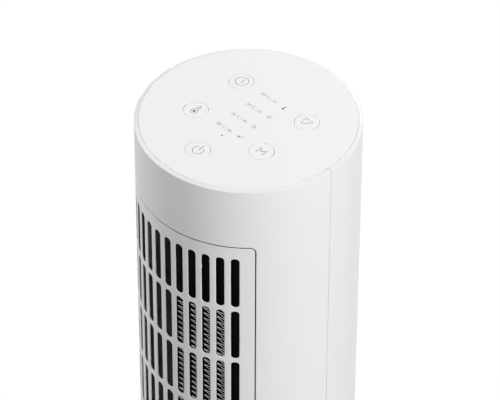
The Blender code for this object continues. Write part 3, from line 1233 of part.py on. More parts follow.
def build_controls(swing):
    cable = cable_hole()
    sheet = plate([circle(BOARD_RADIUS, HIDDEN_FACETS)], BOARD_BOTTOM, BOARD_TOP)
    board = add_part("control_board", sheet, "circuit_board", axis=swing)
    half = TACT_SIZE / 2
    switches = bmesh.new()
    for x, y in KEYS.values():
        add_box(switches, (x - half, y - half, BOARD_TOP - BOARD_THICKNESS / 2),
                (x + half, y + half, TACT_TOP))
    unite(board, "tact_switches", switches)

    guide_bottom = BOARD_TOP + FIT_GAP
    sheet = plate([guide_outline(0.0)], guide_bottom, guide_bottom + GUIDE_SHEET_THICKNESS)
    guide = add_part("light_guide", sheet, "clear_lens", axis=swing)
    pegs = bmesh.new()
    for row in range(GUIDE_ROWS):
        for x in (-GUIDE_COLUMN_X, GUIDE_COLUMN_X):
            add_cylinder(pegs, GUIDE_PEG_RADIUS, guide_bottom + GUIDE_SHEET_THICKNESS / 2,
                         PANEL_BOTTOM - FIT_GAP, SMALL_FACETS, (x, GUIDE_FRONT_Y + row * GUIDE_ROW_PITCH))
    unite(guide, "guide_pegs", pegs)
    deck = plate([circle(FITTED_RADIUS, HIDDEN_FACETS), cable], TRAY_BOTTOM, TRAY_TOP)
    tray = add_part("control_tray", deck, "grey_plastic", axis=swing)
    posts = bmesh.new()
    for centre in ring_places(TRAY_POST_COUNT, BOARD_RADIUS - TRAY_POST_INSET, first_deg=0.0):
        add_cylinder(posts, TRAY_POST_RADIUS, TRAY_BOTTOM + TRAY_THICKNESS / 2, TRAY_POST_TOP,
                     SMALL_FACETS, centre)
    unite(tray, "tray_posts", posts)


def build_all():
    swing = make_axis("swing_axis", (0, 0, TOWER_BOTTOM))
    wheel = make_axis("impeller_axis", (IMPELLER_X, IMPELLER_CENTRE_Y, IMPELLER_BOTTOM), swing)
    pinion = make_axis("pinion_axis", (0, PINION_Y, GEAR_BOTTOM), swing)
    build_base()
    build_swivel()
    build_floor(swing)
    build_housings(swing)
    build_grilles(swing)
    build_filter(swing)
    build_baffle(swing)
    build_funnel(swing)
    build_bulkheads(swing)
    build_duct(swing)
    build_heater(swing)
    build_impeller(wheel)
    build_fan_motor(swing)
    build_swing_drive(swing, pinion)
    build_power_board(swing)
    build_leads(swing)
    build_top_panel(swing)
    build_keys(swing)
    build_controls(swing)


build_all()
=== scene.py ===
import json
import math

import bmesh
import bpy
import numpy as np
from mathutils import Matrix, Vector


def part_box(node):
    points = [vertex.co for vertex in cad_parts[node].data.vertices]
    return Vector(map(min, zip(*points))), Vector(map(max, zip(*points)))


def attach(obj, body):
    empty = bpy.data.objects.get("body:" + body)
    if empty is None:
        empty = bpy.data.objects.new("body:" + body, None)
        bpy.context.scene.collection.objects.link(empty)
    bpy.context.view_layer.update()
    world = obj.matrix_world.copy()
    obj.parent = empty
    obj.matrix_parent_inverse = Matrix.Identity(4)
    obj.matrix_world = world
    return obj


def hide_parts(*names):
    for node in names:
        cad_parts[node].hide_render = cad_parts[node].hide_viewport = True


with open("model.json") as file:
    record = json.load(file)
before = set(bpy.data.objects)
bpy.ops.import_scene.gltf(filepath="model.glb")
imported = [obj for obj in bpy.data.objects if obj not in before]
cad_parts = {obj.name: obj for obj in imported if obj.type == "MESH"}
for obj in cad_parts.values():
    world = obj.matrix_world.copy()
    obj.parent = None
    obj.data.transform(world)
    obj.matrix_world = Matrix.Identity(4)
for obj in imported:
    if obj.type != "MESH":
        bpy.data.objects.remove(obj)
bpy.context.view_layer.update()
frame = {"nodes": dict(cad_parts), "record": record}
record = frame["record"]
nodes = frame["nodes"]
print("frame loaded:", len(nodes), "nodes")

mm = 0.001
towerRadius = 84 * mm  # arc lengths on every curved panel are measured at this radius
windowArc = 4  # steps in a corner of a grille's border and of the window round it

# Camera, fitted to the round top of the tower in the photograph
photo = {
    "widthPixels": 500,
    "focalPixels": 3384,
    "azimuth": 44.75,
    "elevation": 40.345,
    "roll": 0.186,
    "distance": 2475 * mm,
    "aimHeight": 613.6 * mm,
    "aimRight": 1.012 * mm,
    "aimDown": 59.161 * mm,
    "sensor": 36.0,
    "near": 0.05,
    "far": 60,
}


def makeCamera():
    azimuth, elevation = math.radians(photo["azimuth"]), math.radians(photo["elevation"])
    roll = math.radians(photo["roll"])
    right = Vector((math.cos(azimuth), math.sin(azimuth), 0))
    ahead = Vector((-math.sin(azimuth) * math.cos(elevation), math.cos(azimuth) * math.cos(elevation),
                    -math.sin(elevation)))
    up = right.cross(ahead)
    right, up = (math.cos(roll) * right + math.sin(roll) * up, math.cos(roll) * up - math.sin(roll) * right)
    place = Vector((0, 0, photo["aimHeight"])) + photo["aimRight"] * right - photo["aimDown"] * up
    place -= photo["distance"] * ahead
    lens = bpy.data.cameras.new("photoCamera")
    lens.sensor_fit = "HORIZONTAL"
    lens.sensor_width = photo["sensor"]
    lens.lens = photo["focalPixels"] / photo["widthPixels"] * photo["sensor"]
    lens.clip_start, lens.clip_end = photo["near"], photo["far"]
    camera = bpy.data.objects.new("photoCamera", lens)
    bpy.context.scene.collection.objects.link(camera)
    turn = Matrix((right, up, -ahead)).transposed()
    camera.matrix_world = Matrix.Translation(place) @ turn.to_4x4()
    bpy.context.scene.camera = camera


makeCamera()
print("camera placed")


# Shader maths: a socket that adds Math nodes when it is used in an expression
class Socket:
    def __init__(self, finish, link):
        self.finish, self.link = finish, link

    def __add__(self, other):
        return self.finish.maths("ADD", self, other)

    def __sub__(self, other):
        return self.finish.maths("SUBTRACT", self, other)

    def __rsub__(self, other):
        return self.finish.maths("SUBTRACT", other, self)

    def __mul__(self, other):
        return self.finish.maths("MULTIPLY", self, other)

    __radd__, __rmul__ = __add__, __mul__


class Finish:
    # the nodes of one material, or of the world
    def __init__(self, name, kind="materials", shader="Principled BSDF"):
        self.owner = getattr(bpy.data, kind).new(name)
        self.owner.use_nodes = True
        self.tree = self.owner.node_tree
        self.shader = self.tree.nodes[shader]
        self.place = self.node("ShaderNodeTexCoord", out="Object")

    def node(self, kind, settings=None, values=None, out=0):
        made = self.tree.nodes.new(kind)
        for key, value in (settings or {}).items():
            setattr(made, key, value)
        for key, value in (values or {}).items():
            self.feed(made.inputs[key], value)
        return Socket(self, made.outputs[out])

    def feed(self, socket, value):
        if isinstance(value, Socket):
            self.tree.links.new(value.link, socket)
        else:
            socket.default_value = value

    def maths(self, operation, first, second):
        return self.node("ShaderNodeMath", {"operation": operation}, {0: first, 1: second})

    def noise(self, perMetre, detail=3.0, rough=0.55, stretch=None):
        place = self.place
        if stretch:
            place = self.node("ShaderNodeMapping", None, {"Vector": place, "Scale": stretch})
        return self.node("ShaderNodeTexNoise", None, {"Vector": place, "Scale": perMetre, "Detail": detail,
                                                      "Roughness": rough})

    def bands(self, value, low, high):
        return self.node("ShaderNodeMapRange", {"interpolation_type": "SMOOTHSTEP"},
                         {"Value": value, "From Min": low, "From Max": high})

    def blend(self, factor, first, second):
        # from the first colour to the second; either may be a socket
        first, second = [colour if isinstance(colour, Socket) else (*colour, 1) for colour in (first, second)]
        return self.node("ShaderNodeMix", {"data_type": "RGBA"}, {"Factor": factor, "A": first, "B": second},
                         out="Result")

    def shades(self, factor, colour, look):
        return self.blend(factor, tone(colour, look["dark"]), tone(colour, look["pale"]))

    def bump(self, height, depth, strength=1.0):
        return self.node("ShaderNodeBump", None, {"Height": height, "Distance": depth, "Strength": strength})

    def set(self, **inputs):
        for key, value in inputs.items():
            self.feed(self.shader.inputs[key.replace("_", " ")], value)
        return self.owner

    def shownAs(self, second, output, share=None):
        # rays that come from the camera, straight or by way of gloss or glass, see a second shader, or a
        # share of it, in place of the first; those that light the object don't
        rays = [self.node("ShaderNodeLightPath", out=ray)
                for ray in ("Is Camera Ray", "Is Glossy Ray", "Is Transmission Ray")]
        seen = self.maths("MAXIMUM", self.maths("MAXIMUM", rays[0], rays[1]), rays[2])
        first = Socket(self, self.shader.outputs[0])
        mixed = self.node("ShaderNodeMixShader", None,
                          {0: seen * share if share else seen, 1: first, 2: second})
        self.feed(self.tree.nodes[output].inputs["Surface"], mixed)


def tone(colour, factor):
    return tuple(min(1.0, part * factor) for part in colour)


# Numbers of the finishes: grains per metre, factors on the tone, shares of roughness and of relief
looks = {
    "plastic": {"driftPerMetre": 9, "drift": 0.6, "flowPerMetre": 60, "flowStretch": (1, 1, 0.35),
                "flow": 0.4, "flowDull": 0.08, "grainDull": 0.05, "meanDull": 0.065, "pitScale": 0.6,
                "grain": 0.6, "pits": 0.4, "relief": 0.6},
    "worked": {"dark": 0.9, "pale": 1.06, "patchesPerMetre": 70, "patchFrom": 0.45, "patchTo": 0.75,
               "stain": 0.35, "lineDull": 0.12, "patchDull": 0.14, "meanDull": 0.08, "lineDepth": 0.01 * mm,
               "relief": 0.5},
    "strip": {"edgeFrom": 0.4, "linesPerMetre": 1600, "lineStretch": (1, 1, 0.05), "dark": 0.96, "pale": 1.03,
              "roughness": 0.18, "lineDull": 0.1, "lineDepth": 0.01 * mm, "relief": 0.5},
    "cast": {"sandPerMetre": 900, "dark": 0.7, "pale": 1.4, "metallic": 0.6, "pitsPerMetre": 260,
             "pitFrom": 0.62, "pitTo": 0.7, "pits": 0.6, "roughness": 0.5, "sandDull": 0.2,
             "depth": 0.12 * mm},
    "rubber": {"specklePerMetre": 1800, "dustPerMetre": 120, "dustFrom": 0.5, "dustTo": 0.8, "dust": 0.5,
               "dustColour": (0.10, 0.10, 0.098), "roughness": 0.68, "dustDull": 0.12, "speckleDull": 0.08,
               "depth": 0.03 * mm, "relief": 0.7},
    "board": {"runsPerMetre": 90, "runGap": 0.03, "runTone": (0.55, 0.55, 0.55, 1), "dark": 0.62,
              "pale": 1.15, "specksPerMetre": 900, "roughness": 0.3, "speckDull": 0.1, "depth": 0.03 * mm,
              "relief": 0.6},
    "clear": {"hazePerMetre": 300, "dark": 0.94, "pale": 1, "roughness": 0.08, "hazeDull": 0.12, "coat": 0.4,
              "coatRoughness": 0.05, "depth": 0.02 * mm, "relief": 0.4},
    "ink": {"coverPerMetre": 3500, "dark": 0.85, "pale": 1.2, "roughness": 0.5, "coverDull": 0.1},
}


# Moulded plastic: spark-eroded grain, slow drift of tone, faint flow clouds in the gloss
def mouldedPlastic(name, colour, roughness, grainPerMetre=2600, grainDepth=0.012 * mm, spread=0.012,
                   shine=0.5):
    finish, look = Finish(name), looks["plastic"]
    drift = finish.noise(look["driftPerMetre"], detail=2)
    flow = finish.noise(look["flowPerMetre"], detail=4, rough=0.6, stretch=look["flowStretch"])
    grain = finish.noise(grainPerMetre, detail=2, rough=0.5)
    pits = finish.node("ShaderNodeTexVoronoi", None,
                       {"Vector": finish.place, "Scale": grainPerMetre * look["pitScale"]})
    colours = finish.blend(drift * look["drift"] + flow * look["flow"], tone(colour, 1 - spread),
                           tone(colour, 1 + spread))
    rough = flow * look["flowDull"] + grain * look["grainDull"] + (roughness - look["meanDull"])
    height = grain * look["grain"] + pits * look["pits"]
    return finish.set(Base_Color=colours, Roughness=rough, Specular_IOR_Level=shine,
                      Normal=finish.bump(height, grainDepth, look["relief"]))


# Rolled sheet or ground bar: fine lines along one direction, dull patches, faint heat stain
def workedMetal(name, colour, roughness, stretch=(1, 1, 0.03), linesPerMetre=2400, stain=None):
    finish, look = Finish(name), looks["worked"]
    lines = finish.noise(linesPerMetre, rough=0.6, stretch=stretch)
    dull = finish.bands(finish.noise(look["patchesPerMetre"], detail=4, rough=0.6), look["patchFrom"],
                        look["patchTo"])
    colours = finish.shades(lines, colour, look)
    if stain:
        colours = finish.blend(dull * look["stain"], colours, stain)
    rough = lines * look["lineDull"] + dull * look["patchDull"] + (roughness - look["meanDull"])
    return finish.set(Base_Color=colours, Metallic=1.0, Roughness=rough,
                      Normal=finish.bump(lines, look["lineDepth"], look["relief"]))


# Folded strip: pale metal at its cut front edges, near-black deeper in: painted shade of the pack's inside
def foldedStrip(name, front, edgeColour, paintedShadeColour, edgeDepth):
    finish, look = Finish(name), looks["strip"]
    depth = finish.node("ShaderNodeSeparateXYZ", None, {"Vector": finish.place}, out="Y") - front
    # painted shade: from the front edge inward the colour goes from the edge's tone to the near-black sheet
    # colour
    inside = finish.bands(depth, edgeDepth * look["edgeFrom"], edgeDepth)
    lines = finish.noise(look["linesPerMetre"], rough=0.6, stretch=look["lineStretch"])
    edge = finish.shades(lines, edgeColour, look)
    return finish.set(Base_Color=finish.blend(inside, edge, paintedShadeColour), Metallic=1.0,
                      Roughness=lines * look["lineDull"] + look["roughness"],
                      Normal=finish.bump(lines, look["lineDepth"], look["relief"]))


# Cast iron: coarse sand grain and darker pits
def castMetal(name, colour):
    finish, look = Finish(name), looks["cast"]
    sand = finish.noise(look["sandPerMetre"], detail=5, rough=0.7)
    pits = finish.bands(finish.noise(look["pitsPerMetre"]), look["pitFrom"], look["pitTo"])
    return finish.set(Base_Color=finish.shades(sand, colour, look), Metallic=look["metallic"],
                      Roughness=sand * look["sandDull"] + look["roughness"],
                      Normal=finish.bump(sand - pits * look["pits"], look["depth"]))


# Rubber: dusty matt skin with fine speckle
def softRubber(name, colour):
    finish, look = Finish(name), looks["rubber"]
    speckle = finish.noise(look["specklePerMetre"])
    dust = finish.bands(finish.noise(look["dustPerMetre"], detail=4, rough=0.65), look["dustFrom"],
                        look["dustTo"])
    return finish.set(Base_Color=finish.blend(dust * look["dust"], colour, look["dustColour"]),
                      Roughness=dust * look["dustDull"] + speckle * look["speckleDull"] + look["roughness"],
                      Normal=finish.bump(speckle, look["depth"], look["relief"]))


# Circuit board: green solder mask over darker copper runs on a square raster
def circuitBoard(name, colour):
    finish, look = Finish(name), looks["board"]
    runs = finish.node("ShaderNodeTexBrick", {"offset": 0.5, "squash": 0.6, "squash_frequency": 3},
                       {"Vector": finish.place, "Scale": look["runsPerMetre"], "Mortar Size": look["runGap"],
                        "Color1": (1, 1, 1, 1), "Color2": look["runTone"], "Mortar": (0, 0, 0, 1)})
    speck = finish.noise(look["specksPerMetre"])
    return finish.set(Base_Color=finish.shades(runs, colour, look),
                      Roughness=speck * look["speckDull"] + look["roughness"],
                      Normal=finish.bump(runs, look["depth"], look["relief"]))


# Clear moulding: pale body with a light sheen and slight haze
def clearMoulding(name, colour):
    finish, look = Finish(name), looks["clear"]
    haze = finish.noise(look["hazePerMetre"], detail=4, rough=0.6)
    return finish.set(Base_Color=finish.shades(haze, colour, look), Coat_Weight=look["coat"],
                      Roughness=haze * look["hazeDull"] + look["roughness"],
                      Coat_Roughness=look["coatRoughness"],
                      Normal=finish.bump(haze, look["depth"], look["relief"]))


# Printed ink: matt, with a slightly uneven coverage
def printedInk(name, colour):
    finish, look = Finish(name), looks["ink"]
    cover = finish.noise(look["coverPerMetre"])
    return finish.set(Base_Color=finish.shades(cover, colour, look),
                      Roughness=cover * look["coverDull"] + look["roughness"])


slotColours = {item["slot"]: tuple(item["base_color"][:3]) for item in record["materials"]}
white = (0.865, 0.865, 0.862)
glossWhite = (0.88, 0.88, 0.878)
black = (0.0022, 0.0022, 0.0024)
finishes = {
    "white_shell": mouldedPlastic("satinWhite", white, roughness=0.42),
    "white_gloss": mouldedPlastic("smoothWhite", glossWhite, roughness=0.34, grainPerMetre=3200,
                                  grainDepth=0.003 * mm, spread=0.003),
    "black_plastic": mouldedPlastic("ductBlack", black, roughness=0.42, grainPerMetre=1500,
                                    grainDepth=0.02 * mm, spread=0.15, shine=0.03),
    "grey_plastic": mouldedPlastic("structuralGrey", slotColours["grey_plastic"], roughness=0.5,
                                   grainPerMetre=1700, grainDepth=0.02 * mm, spread=0.04),
    "cream_plastic": mouldedPlastic("acetalCream", slotColours["cream_plastic"], roughness=0.4,
                                    grainPerMetre=2200, grainDepth=0.008 * mm, spread=0.03),
    "aluminium": workedMetal("rolledAluminium", slotColours["aluminium"], roughness=0.3),
    "steel": workedMetal("zincSteel", slotColours["steel"], roughness=0.34, stretch=(0.05, 0.05, 1),
                         linesPerMetre=1800, stain=(0.42, 0.40, 0.33)),
    "cast_iron": castMetal("castIron", slotColours["cast_iron"]),
    "rubber": softRubber("blackRubber", slotColours["rubber"]),
    "circuit_board": circuitBoard("solderMask", slotColours["circuit_board"]),
    "clear_lens": clearMoulding("lightGuideClear", slotColours["clear_lens"]),
    "net": mouldedPlastic("filterGrey", slotColours["net"], roughness=0.62, grainPerMetre=1200,
                          grainDepth=0.03 * mm, spread=0.1),
}
inkFinish = printedInk("legendInk", (0.13, 0.13, 0.135))
# the flat tubes are given a near-black colour in place of their slot's aluminium
tubeFinish = mouldedPlastic("heaterTubeNearBlack", (0.006, 0.0055, 0.005), roughness=0.4, grainPerMetre=1600,
                            grainDepth=0.01 * mm, spread=0.2, shine=0.05)
funnelFinish = mouldedPlastic("funnelBlack", black, roughness=0.16, grainPerMetre=1800,
                              grainDepth=0.004 * mm, spread=0.15, shine=0.22)
# the fins' near-black sheet colour behind their front edge is painted shade
finFinish = foldedStrip("foldedFinPaintedShade", front=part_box("heater_fin_1")[0].y, edgeColour=(0.96, 0.96, 0.96),
                        paintedShadeColour=(0.04, 0.04, 0.04), edgeDepth=0.9 * mm)
for row in record["subparts"]:
    mesh = nodes[row["node"]].data
    mesh.materials.clear()
    mesh.materials.append(finishes[row["material_slot"]])
nodes["outlet_funnel"].data.materials[0] = funnelFinish
print("finishes made:", len(finishes) + 4)


# Shapes. A patch is an array of points and the faces between them; a piece is welded from its patches.
def gridFaces(rows, columns, wrapRows=False, wrapColumns=False):
    # quads between the points of a grid, line by line; a wrapped side joins its last line to its first
    row = np.arange(rows if wrapRows else rows - 1)[:, None]
    column = np.arange(columns if wrapColumns else columns - 1)[None, :]
    nextRow, nextColumn = (row + 1) % rows, (column + 1) % columns
    corners = (row * columns + column, row * columns + nextColumn, nextRow * columns + nextColumn,
               nextRow * columns + column)
    return np.stack(corners, -1).reshape(-1, 4)


def repeated(faces, copies, stride):
    # the same faces for every copy of a block of points
    return (faces[None] + (np.arange(copies) * stride)[:, None, None]).reshape(-1, faces.shape[-1])


def addPiece(name, patches, body, slotName, replaced=(), **finishing):
    places, faces, start = [], [], 0
    for points, quads in patches:
        points = np.asarray(points, float).reshape(-1, 3)
        places.append(points)
        faces += [[start + corner for corner in face] for face in np.asarray(quads).tolist()]
        start += len(points)
    mesh = bpy.data.meshes.new(name)
    mesh.from_pydata(np.concatenate(places).tolist(), [], faces)
    placeMesh(name, mesh, body, slotName, replaced, **finishing)


def placeMesh(name, mesh, body, slotName, replaced=(), finish=None, sharpDeg=38, weld=0.002 * mm):
    shape = bmesh.new()
    shape.from_mesh(mesh)
    bmesh.ops.remove_doubles(shape, verts=shape.verts, dist=weld)
    bmesh.ops.dissolve_degenerate(shape, edges=shape.edges, dist=weld)
    bmesh.ops.recalc_face_normals(shape, faces=shape.faces)
    shape.to_mesh(mesh)
    shape.free()
    mesh.shade_smooth()
    mesh.set_sharp_from_angle(angle=math.radians(sharpDeg))
    mesh.materials.clear()
    mesh.materials.append(finish or finishes[slotName])
    piece = bpy.data.objects.new(name, mesh)
    bpy.context.scene.collection.objects.link(piece)
    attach(piece, body)
    if replaced:
        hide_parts(*replaced)


def roundCorners(points, radii, steps=4):
    # each corner becomes a short curve: it leaves the first side and joins the second at the same
    # distance from the corner, and bends between them as a parabola does
    path = [np.array(points[0], float)[None]]
    for before, corner, after, radius in zip(points, points[1:], points[2:], radii):
        before, corner, after = np.array(before, float), np.array(corner, float), np.array(after, float)
        if not radius:
            path.append(corner[None])
            continue
        inward, outward = before - corner, after - corner
        reach = min(radius, np.linalg.norm(inward) / 2, np.linalg.norm(outward) / 2)
        first = corner + inward / np.linalg.norm(inward) * reach
        last = corner + outward / np.linalg.norm(outward) * reach
        share = np.linspace(0, 1, steps + 1)[:, None]
        path.append((1 - share) ** 2 * first + 2 * share * (1 - share) * corner + share ** 2 * last)
    path.append(np.array(points[-1], float)[None])
    return np.concatenate(path)


def roundedLoop(points, radii, steps=4):
    # the same for a closed outline
    return roundCorners([points[-1], *points, points[0]], radii, steps)[1:-1]


def turnedPatch(profile, steps, centre=(0, 0), closed=True):
    # a profile of (radius, height) carried round an upright axis: x = radius cos turn, y = radius sin turn
    turn = np.linspace(0, 2 * math.pi, steps, endpoint=False)
    radius, height = profile[:, 0][:, None], profile[:, 1][:, None]
    points = np.stack([centre[0] + radius * np.cos(turn), centre[1] + radius * np.sin(turn),
                       height + 0 * turn], -1)
    return points, gridFaces(len(profile), steps, wrapRows=closed, wrapColumns=True)


def wrapped(flat, centreDeg, surfaceRadius=towerRadius, arcRadius=towerRadius):
    # flat (along, height, depth) onto a round wall: along / arc radius is the angle from the middle,
    # and depth is taken off the surface radius
    angle = flat[..., 0] / arcRadius + math.radians(centreDeg)
    radius = surfaceRadius - flat[..., 2]
    return np.stack([radius * np.sin(angle), -radius * np.cos(angle), flat[..., 1]], -1)


def plainOutline(halfWidth, halfHeight, across, upward):
    # evenly spaced points along the four sides of a rectangle, counter-clockwise from the lower left
    sides = []
    for number, (half, out, count) in enumerate([(halfWidth, halfHeight, across),
                                                 (halfHeight, halfWidth, upward)] * 2):
        along = np.linspace(-half, half, count + 1)[:-1]
        sides.append(turnSide(along, np.full(count, out), number))
    return np.concatenate(sides)


def turnSide(along, outward, quarter):
    # the bottom side turned by quarters: x = along cos + outward sin, y = along sin - outward cos
    cosine, sine = round(math.cos(quarter * math.pi / 2)), round(math.sin(quarter * math.pi / 2))
    return np.stack([along * cosine + outward * sine, along * sine - outward * cosine], -1)


def roundOutline(halfWidth, halfHeight, radius, across, upward, arc=3):
    # the same with round corners: a side starts and ends in the middle of a corner's arc, and a radius
    # stays just under half the width, so that no two corners meet in one point
    sides, largest = [], 0.999
    radius = min(radius, halfWidth * largest, halfHeight * largest)
    for number, (half, out, count) in enumerate([(halfWidth, halfHeight, across),
                                                 (halfHeight, halfWidth, upward)] * 2):
        first = np.radians(np.linspace(135, 90, arc + 1))
        last = np.radians(np.linspace(90, 45, arc + 1))[:-1]
        run = np.linspace(radius - half, half - radius, count - 2 * arc + 1)[1:-1]
        along = np.concatenate([radius - half + radius * np.cos(first), run,
                                half - radius + radius * np.cos(last)])
        outward = np.concatenate([out - radius + radius * np.sin(first), np.full(len(run), out),
                                  out - radius + radius * np.sin(last)])
        sides.append(turnSide(along, outward, number))
    return np.concatenate(sides)


def atDepth(outline, depth):
    # flat points with the same third value for all
    return np.concatenate([outline, np.full((len(outline), 1), depth)], -1)


def headings(path, axis):
    # the way along a path at each of its points, of length 1
    along = np.gradient(path, axis=axis)
    return along / np.linalg.norm(along, axis=-1, keepdims=True)


def framed(field, outline, edge, depth, growth=1, middle=0, flare=0, steps=4, guard=0.3 * mm):
    # A ring from the field's outline to an opening or a rim, over its round edge, down its wall and back
    # behind. outline(grown) gives the opening grown by that much. The edge turns a quarter circle from the
    # face into the wall: it stands back by edge (1 - sin turn) and goes down by edge (1 - cos turn).
    # The wall then goes straight back, or flares away from the opening to bevel the edge behind.
    loops = [atDepth(field, 0), atDepth(outline(growth * (edge + guard)), 0)]
    for turn in np.radians(np.linspace(0, 90, steps + 1)):
        loops.append(atDepth(outline(growth * edge * (1 - math.sin(turn))), edge * (1 - math.cos(turn))))
    loops += [atDepth(outline(growth * flare), depth), atDepth(field, depth)]
    return np.stack(loops) + [0, middle, 0]


def slottedPanel(spec):
    # a cell is a ring from its rectangle to its slot; the cells meet along their rectangles, and one wider
    # ring is the plain border
    across, upward = spec["across"], spec["upward"]
    columns, rows = spec["columns"], spec["rows"]
    cellWidth = math.radians(spec["pitchDeg"]) * towerRadius
    slotHeight = (spec["top"] - spec["bottom"] - 2 * spec["endMargin"] - (rows - 1) * spec["bar"]) / rows
    cellHeight = slotHeight + spec["bar"]
    middle = (spec["top"] + spec["bottom"]) / 2

    def slot(grown):
        return roundOutline(spec["slotWidth"] / 2 + grown, slotHeight / 2 + grown, spec["slotCorner"] + grown,
                            across, upward)

    rectangle = plainOutline(cellWidth / 2, cellHeight / 2, across, upward)
    cell = framed(rectangle, slot, spec["slotEdge"], spec["depth"], flare=spec["flare"])
    column, row = np.meshgrid(np.arange(columns) - (columns - 1) / 2, np.arange(rows) - (rows - 1) / 2)
    shift = np.stack([column.ravel() * cellWidth, middle + row.ravel() * cellHeight, 0 * row.ravel()], -1)
    cells = cell[None] + shift[:, None, None, :]
    loops, length = cell.shape[:2]
    cellFaces = repeated(gridFaces(loops, length, wrapColumns=True), len(shift), loops * length)

    def border(grown):
        return roundOutline(math.radians(spec["halfDeg"]) * towerRadius + grown,
                            (spec["top"] - spec["bottom"]) / 2 + grown, spec["corner"] + grown,
                            across * columns, upward * rows, windowArc)

    field = plainOutline(cellWidth * columns / 2, cellHeight * rows / 2, across * columns, upward * rows)
    ring = framed(field, border, spec["edge"], spec["depth"], -1, middle, spec["flare"])
    radius = spec.get("radius", towerRadius)
    return [(wrapped(cells, spec["centreDeg"], radius), cellFaces),
            (wrapped(ring, spec["centreDeg"], radius), gridFaces(*ring.shape[:2], wrapColumns=True))]


def bars(centre, across, deep):
    # four-sided bars along lines of points: centre plus and minus a width vector and a depth vector
    corners = np.stack([centre + across + deep, centre - across + deep, centre - across - deep,
                        centre + across - deep], -2)
    copies, length = corners.shape[:2]
    stride = length * 4
    ends = np.array([[3, 2, 1, 0], [stride - 4, stride - 3, stride - 2, stride - 1]])
    return [(corners, np.concatenate([repeated(gridFaces(length, 4, wrapColumns=True), copies, stride),
                                      repeated(ends, copies, stride)]))]


# Tower shells: a closed profile carried round half the tower, with a framed window for a grille
shell = {
    "wall": 2.5 * mm,
    "rimWidth": 3.1 * mm,
    "rimHeight": 1.4 * mm,
    "rimEdge": 0.45 * mm,
    "panelDepth": 2.7 * mm,
    "ledge": 3.0 * mm,
    "ledgeDepth": 2.0 * mm,
    "foot": 1.0 * mm,
    "flangeWidth": 6.8 * mm,
    "flangeHeight": 4.2 * mm,
    "halfDeg": 48.2,
    "seam": 0.95 * mm,
    "corner": 4.0 * mm,
    "windowEdge": 0.2 * mm,
    "frameWidth": 6 * mm,
    "sideGap": 0.14 * mm,
    "across": 44,
    "upward": 34,
    "sideSteps": 14,
}


def windowedShell(profileRise, upper, lower, radius, centreDeg, window, lines, closed):
    # profileRise are the heights of the lines that pass the window; upper and lower are the rest of the
    # closed profile, over the top and under the bottom. Quads inside the window's frame are left out.
    outer = np.stack([np.full(len(profileRise), radius), profileRise], -1)
    inner = np.stack([np.full(len(profileRise), radius - window["wall"]), profileRise[::-1]], -1)
    profile = np.concatenate([outer, upper, inner, lower])
    angle = lines / radius + math.radians(centreDeg)
    points = np.stack([profile[:, :1] * np.sin(angle), -profile[:, :1] * np.cos(angle),
                       profile[:, 1:] + 0 * angle], -1)
    faces = gridFaces(len(profile), len(lines), wrapRows=True, wrapColumns=closed)
    columns = len(lines) if closed else len(lines) - 1
    keep = np.ones((len(profile), columns), bool)
    firstColumn = int(np.argmin(abs(lines + window["halfWidth"])))
    span = slice(firstColumn, firstColumn + window["across"])
    keep[0:window["upward"], span] = False
    innerRow = len(outer) + len(upper)
    keep[innerRow:innerRow + window["upward"], span] = False
    patches = [(points, faces[keep.ravel()])]
    if not closed:
        count = len(lines)
        ends = [[row * count for row in range(len(profile))],
                [row * count + count - 1 for row in range(len(profile))][::-1]]
        patches.append((points, ends))
    rectangle = plainOutline(window["halfWidth"], window["halfHeight"], window["across"], window["upward"])
    ring = framed(rectangle, window["outline"], window["edge"], window["wall"], middle=window["middle"])
    ringFaces = gridFaces(*ring.shape[:2], wrapColumns=True)
    return patches + [(wrapped(ring, centreDeg, radius, radius), ringFaces)]


def makeHousing(name, node, grilleNode, centreDeg):
    # the profile goes up the outside, over the rim to the ledge of the top panel, down the inside and
    # round the flange at the floor; its lines stand closer along the window's frame than beside it
    bottom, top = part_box(node)[0].z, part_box(node)[1].z
    low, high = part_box(grilleNode)[0].z - shell["seam"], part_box(grilleNode)[1].z + shell["seam"]
    halfWidth = math.radians(shell["halfDeg"]) * towerRadius + shell["seam"]
    frameWidth = shell["frameWidth"]
    across, upward = shell["across"], shell["upward"]
    radius, inner = towerRadius, towerRadius - shell["wall"]
    rim, ledgeTop = radius - shell["rimWidth"], top - shell["panelDepth"]
    rise = np.linspace(low - frameWidth, high + frameWidth, upward + 1)
    over = [(radius, rise[-1]), (radius, top - shell["rimHeight"]), (rim, top), (rim, ledgeTop),
            (rim - shell["ledge"], ledgeTop), (rim - shell["ledge"], ledgeTop - shell["ledgeDepth"]),
            (inner, ledgeTop - shell["ledgeDepth"] - shell["ledge"]), (inner, rise[-1])]
    upper = roundCorners(over, [shell["rimEdge"], shell["rimEdge"], 0, 0, 0, 0])[1:-1]
    flange, flangeTop = inner - shell["flangeWidth"], bottom + shell["flangeHeight"]
    under = [(inner, rise[0]), (inner, flangeTop), (flange, flangeTop), (flange, bottom),
             (radius - shell["foot"], bottom), (radius, bottom + shell["foot"]), (radius, rise[0])]
    lower = roundCorners(under, [0, 0, 0, shell["rimEdge"], shell["rimEdge"]])[1:-1]

    def outline(grown):
        return roundOutline(halfWidth + grown, (high - low) / 2 + grown,
                            shell["corner"] + shell["seam"] + grown, across, upward, windowArc)

    bandHalf = halfWidth + frameWidth
    end = math.pi / 2 * radius - shell["sideGap"]
    side = np.linspace(-end, -bandHalf, shell["sideSteps"] + 1)
    lines = np.concatenate([side, np.linspace(-bandHalf, bandHalf, across + 1)[1:-1], -side[::-1]])
    window = {"halfWidth": bandHalf, "halfHeight": (high - low) / 2 + frameWidth, "middle": (high + low) / 2,
              "across": across, "upward": upward, "outline": outline, "edge": shell["windowEdge"],
              "wall": shell["wall"]}
    addPiece(name, windowedShell(rise, upper, lower, radius, centreDeg, window, lines, False), "tower",
             "white_shell", [node])


makeHousing("frontShell", "front_housing", "front_grille", 0)
makeHousing("rearShell", "rear_housing", "rear_grille", 180)
print("tower shells made")

